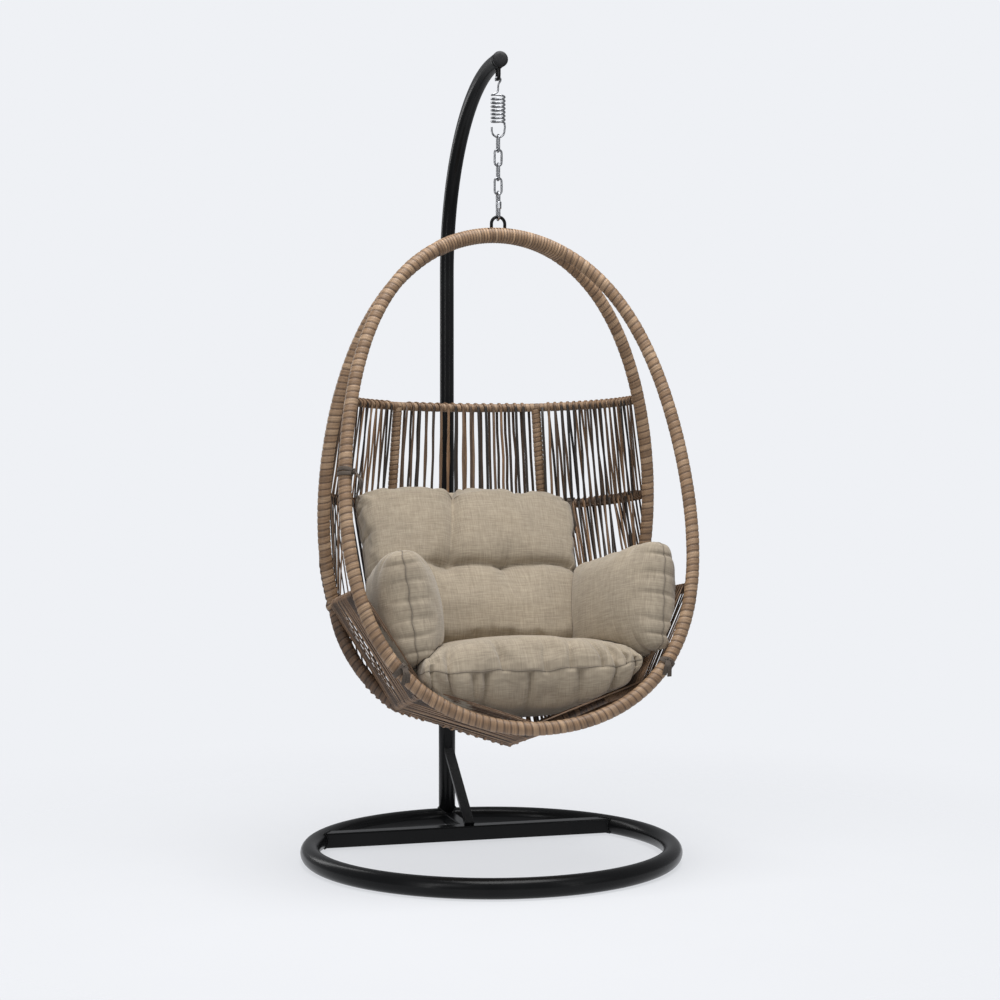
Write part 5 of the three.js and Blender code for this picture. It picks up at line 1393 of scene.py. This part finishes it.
# %% Finishes for the CAD nodes that stay
slot_of_node = {part["node"]: part["material_slot"] for part in frame["record"]["subparts"]}
for name, piece in nodes.items():
    if not piece.hide_render:
        piece.data.materials.clear()
        piece.data.materials.append(FINISH_OF_SLOT[slot_of_node.get(name, "frame_tube")])
print("CAD nodes kept:", sorted(n for n, p in nodes.items() if not p.hide_render))

# %% [markdown]
# ## Floor and backdrop
# The photograph has no horizon: the floor and the wall are one pale blue-white, with a faint soft
# shadow. The world has that colour where the camera sees it, and lights the chair with only
# a third of it, so that the seat's underside stays dark. The floor is a large disc that glows
# in the same colour and fades out at its edge. The plain "Standard" view keeps that white as
# it is, where the filmic one would turn it grey.

# %% Floor and world
BACKDROP, WORLD_LIGHT, FLOOR_GLOW = (0.863, 0.879, 0.913), 0.36, 0.7
FADE_START, FADE_END, FLOOR_RADIUS = 0.75, 2.2, 3.0
bpy.context.scene.view_settings.view_transform = "Standard"
world = bpy.data.worlds.new("pale_studio")
bpy.context.scene.world = world
world.use_nodes = True
sky = world.node_tree.nodes["Background"]
sky.inputs["Color"].default_value = (*BACKDROP, 1)
seen = add_node(world, "ShaderNodeLightPath").outputs["Is Camera Ray"]
world.node_tree.links.new(spread(world, seen, WORLD_LIGHT, 1.0), sky.inputs["Strength"])

floor_finish, floor_shader = new_finish("pale_floor", 0.6)
place = add_node(floor_finish, "ShaderNodeTexCoord").outputs["Object"]
far = add_node(floor_finish, "ShaderNodeVectorMath", {"Vector": place}, operation="LENGTH").outputs["Value"]
haze = stretched_noise(floor_finish, place, (3.0, 3.0, 3.0), 2.0)
floor_colour = two_tone(floor_finish, haze, (0.86, 0.87, 0.89), (0.88, 0.89, 0.91))
floor_finish.node_tree.links.new(floor_colour, floor_shader.inputs["Base Color"])
glow = add_node(floor_finish, "ShaderNodeEmission", Color=(*BACKDROP, 1), Strength=1.0)
glowing = add_node(floor_finish, "ShaderNodeMixShader",
                   {1: floor_shader.outputs["BSDF"], 2: glow.outputs["Emission"]})
glowing.inputs[0].default_value = FLOOR_GLOW
clear = add_node(floor_finish, "ShaderNodeBsdfTransparent")
fade = add_node(floor_finish, "ShaderNodeMapRange", {"Value": far}, interpolation_type="SMOOTHSTEP",
                From_Min=FADE_START, From_Max=FADE_END)
faded = add_node(floor_finish, "ShaderNodeMixShader",
                 {0: fade.outputs["Result"], 1: glowing.outputs["Shader"], 2: clear.outputs["BSDF"]})
surface = floor_finish.node_tree.nodes["Material Output"].inputs["Surface"]
floor_finish.node_tree.links.new(faded.outputs["Shader"], surface)
floor_mesh = bpy.data.meshes.new("floor")
disc = bmesh.new()
bmesh.ops.create_circle(disc, cap_ends=True, radius=FLOOR_RADIUS, segments=96)
disc.to_mesh(floor_mesh)
disc.free()
floor_mesh.materials.append(floor_finish)
floor = placed("floor", floor_mesh)
floor.location = (0, 0, -0.0005)
print("floor", 2 * FLOOR_RADIUS, "m across")

# %% [markdown]
# ## Lamps
# Most of the light falls from one large soft lamp overhead, which leaves the pale tops and the
# dark undersides of the photograph. Two weak ones in front open the shadows, and three tall
# narrow ones draw the long highlights down the post and the hoops.

# %% Lamps
LAMPS = {  # place, aim, size in metres, power in watts
    "front_left_softbox": ((-2.6, -2.6, 2.6), (0, -0.1, 0.8), (1.6, 2.2), 13),
    "front_right_softbox": ((2.6, -2.4, 2.2), (0, 0, 0.8), (1.2, 2.2), 2.5),
    "top_softbox": ((0.1, -0.7, 3.5), (0, 0, 0.6), (2.2, 2.0), 98),
    "rear_strip": ((-1.8, 2.4, 2.0), (0, 0.3, 1.0), (0.6, 2.2), 18),
    "left_strip": ((-2.4, -2.0, 1.3), (0, 0.45, 1.0), (0.14, 2.6), 11),
    "right_strip": ((1.5, -2.6, 1.3), (0, 0.45, 1.0), (0.10, 2.6), 5),
}
for name, (place, aim, (width, height), power) in LAMPS.items():
    lamp = placed(name, bpy.data.lights.new(name, "AREA"))
    lamp.data.shape, lamp.data.size, lamp.data.size_y, lamp.data.energy = "RECTANGLE", width, height, power
    lamp.location = place
    lamp.rotation_euler = (Vector(aim) - Vector(place)).to_track_quat("-Z", "Y").to_euler()
print(len(LAMPS), "lamps ready")
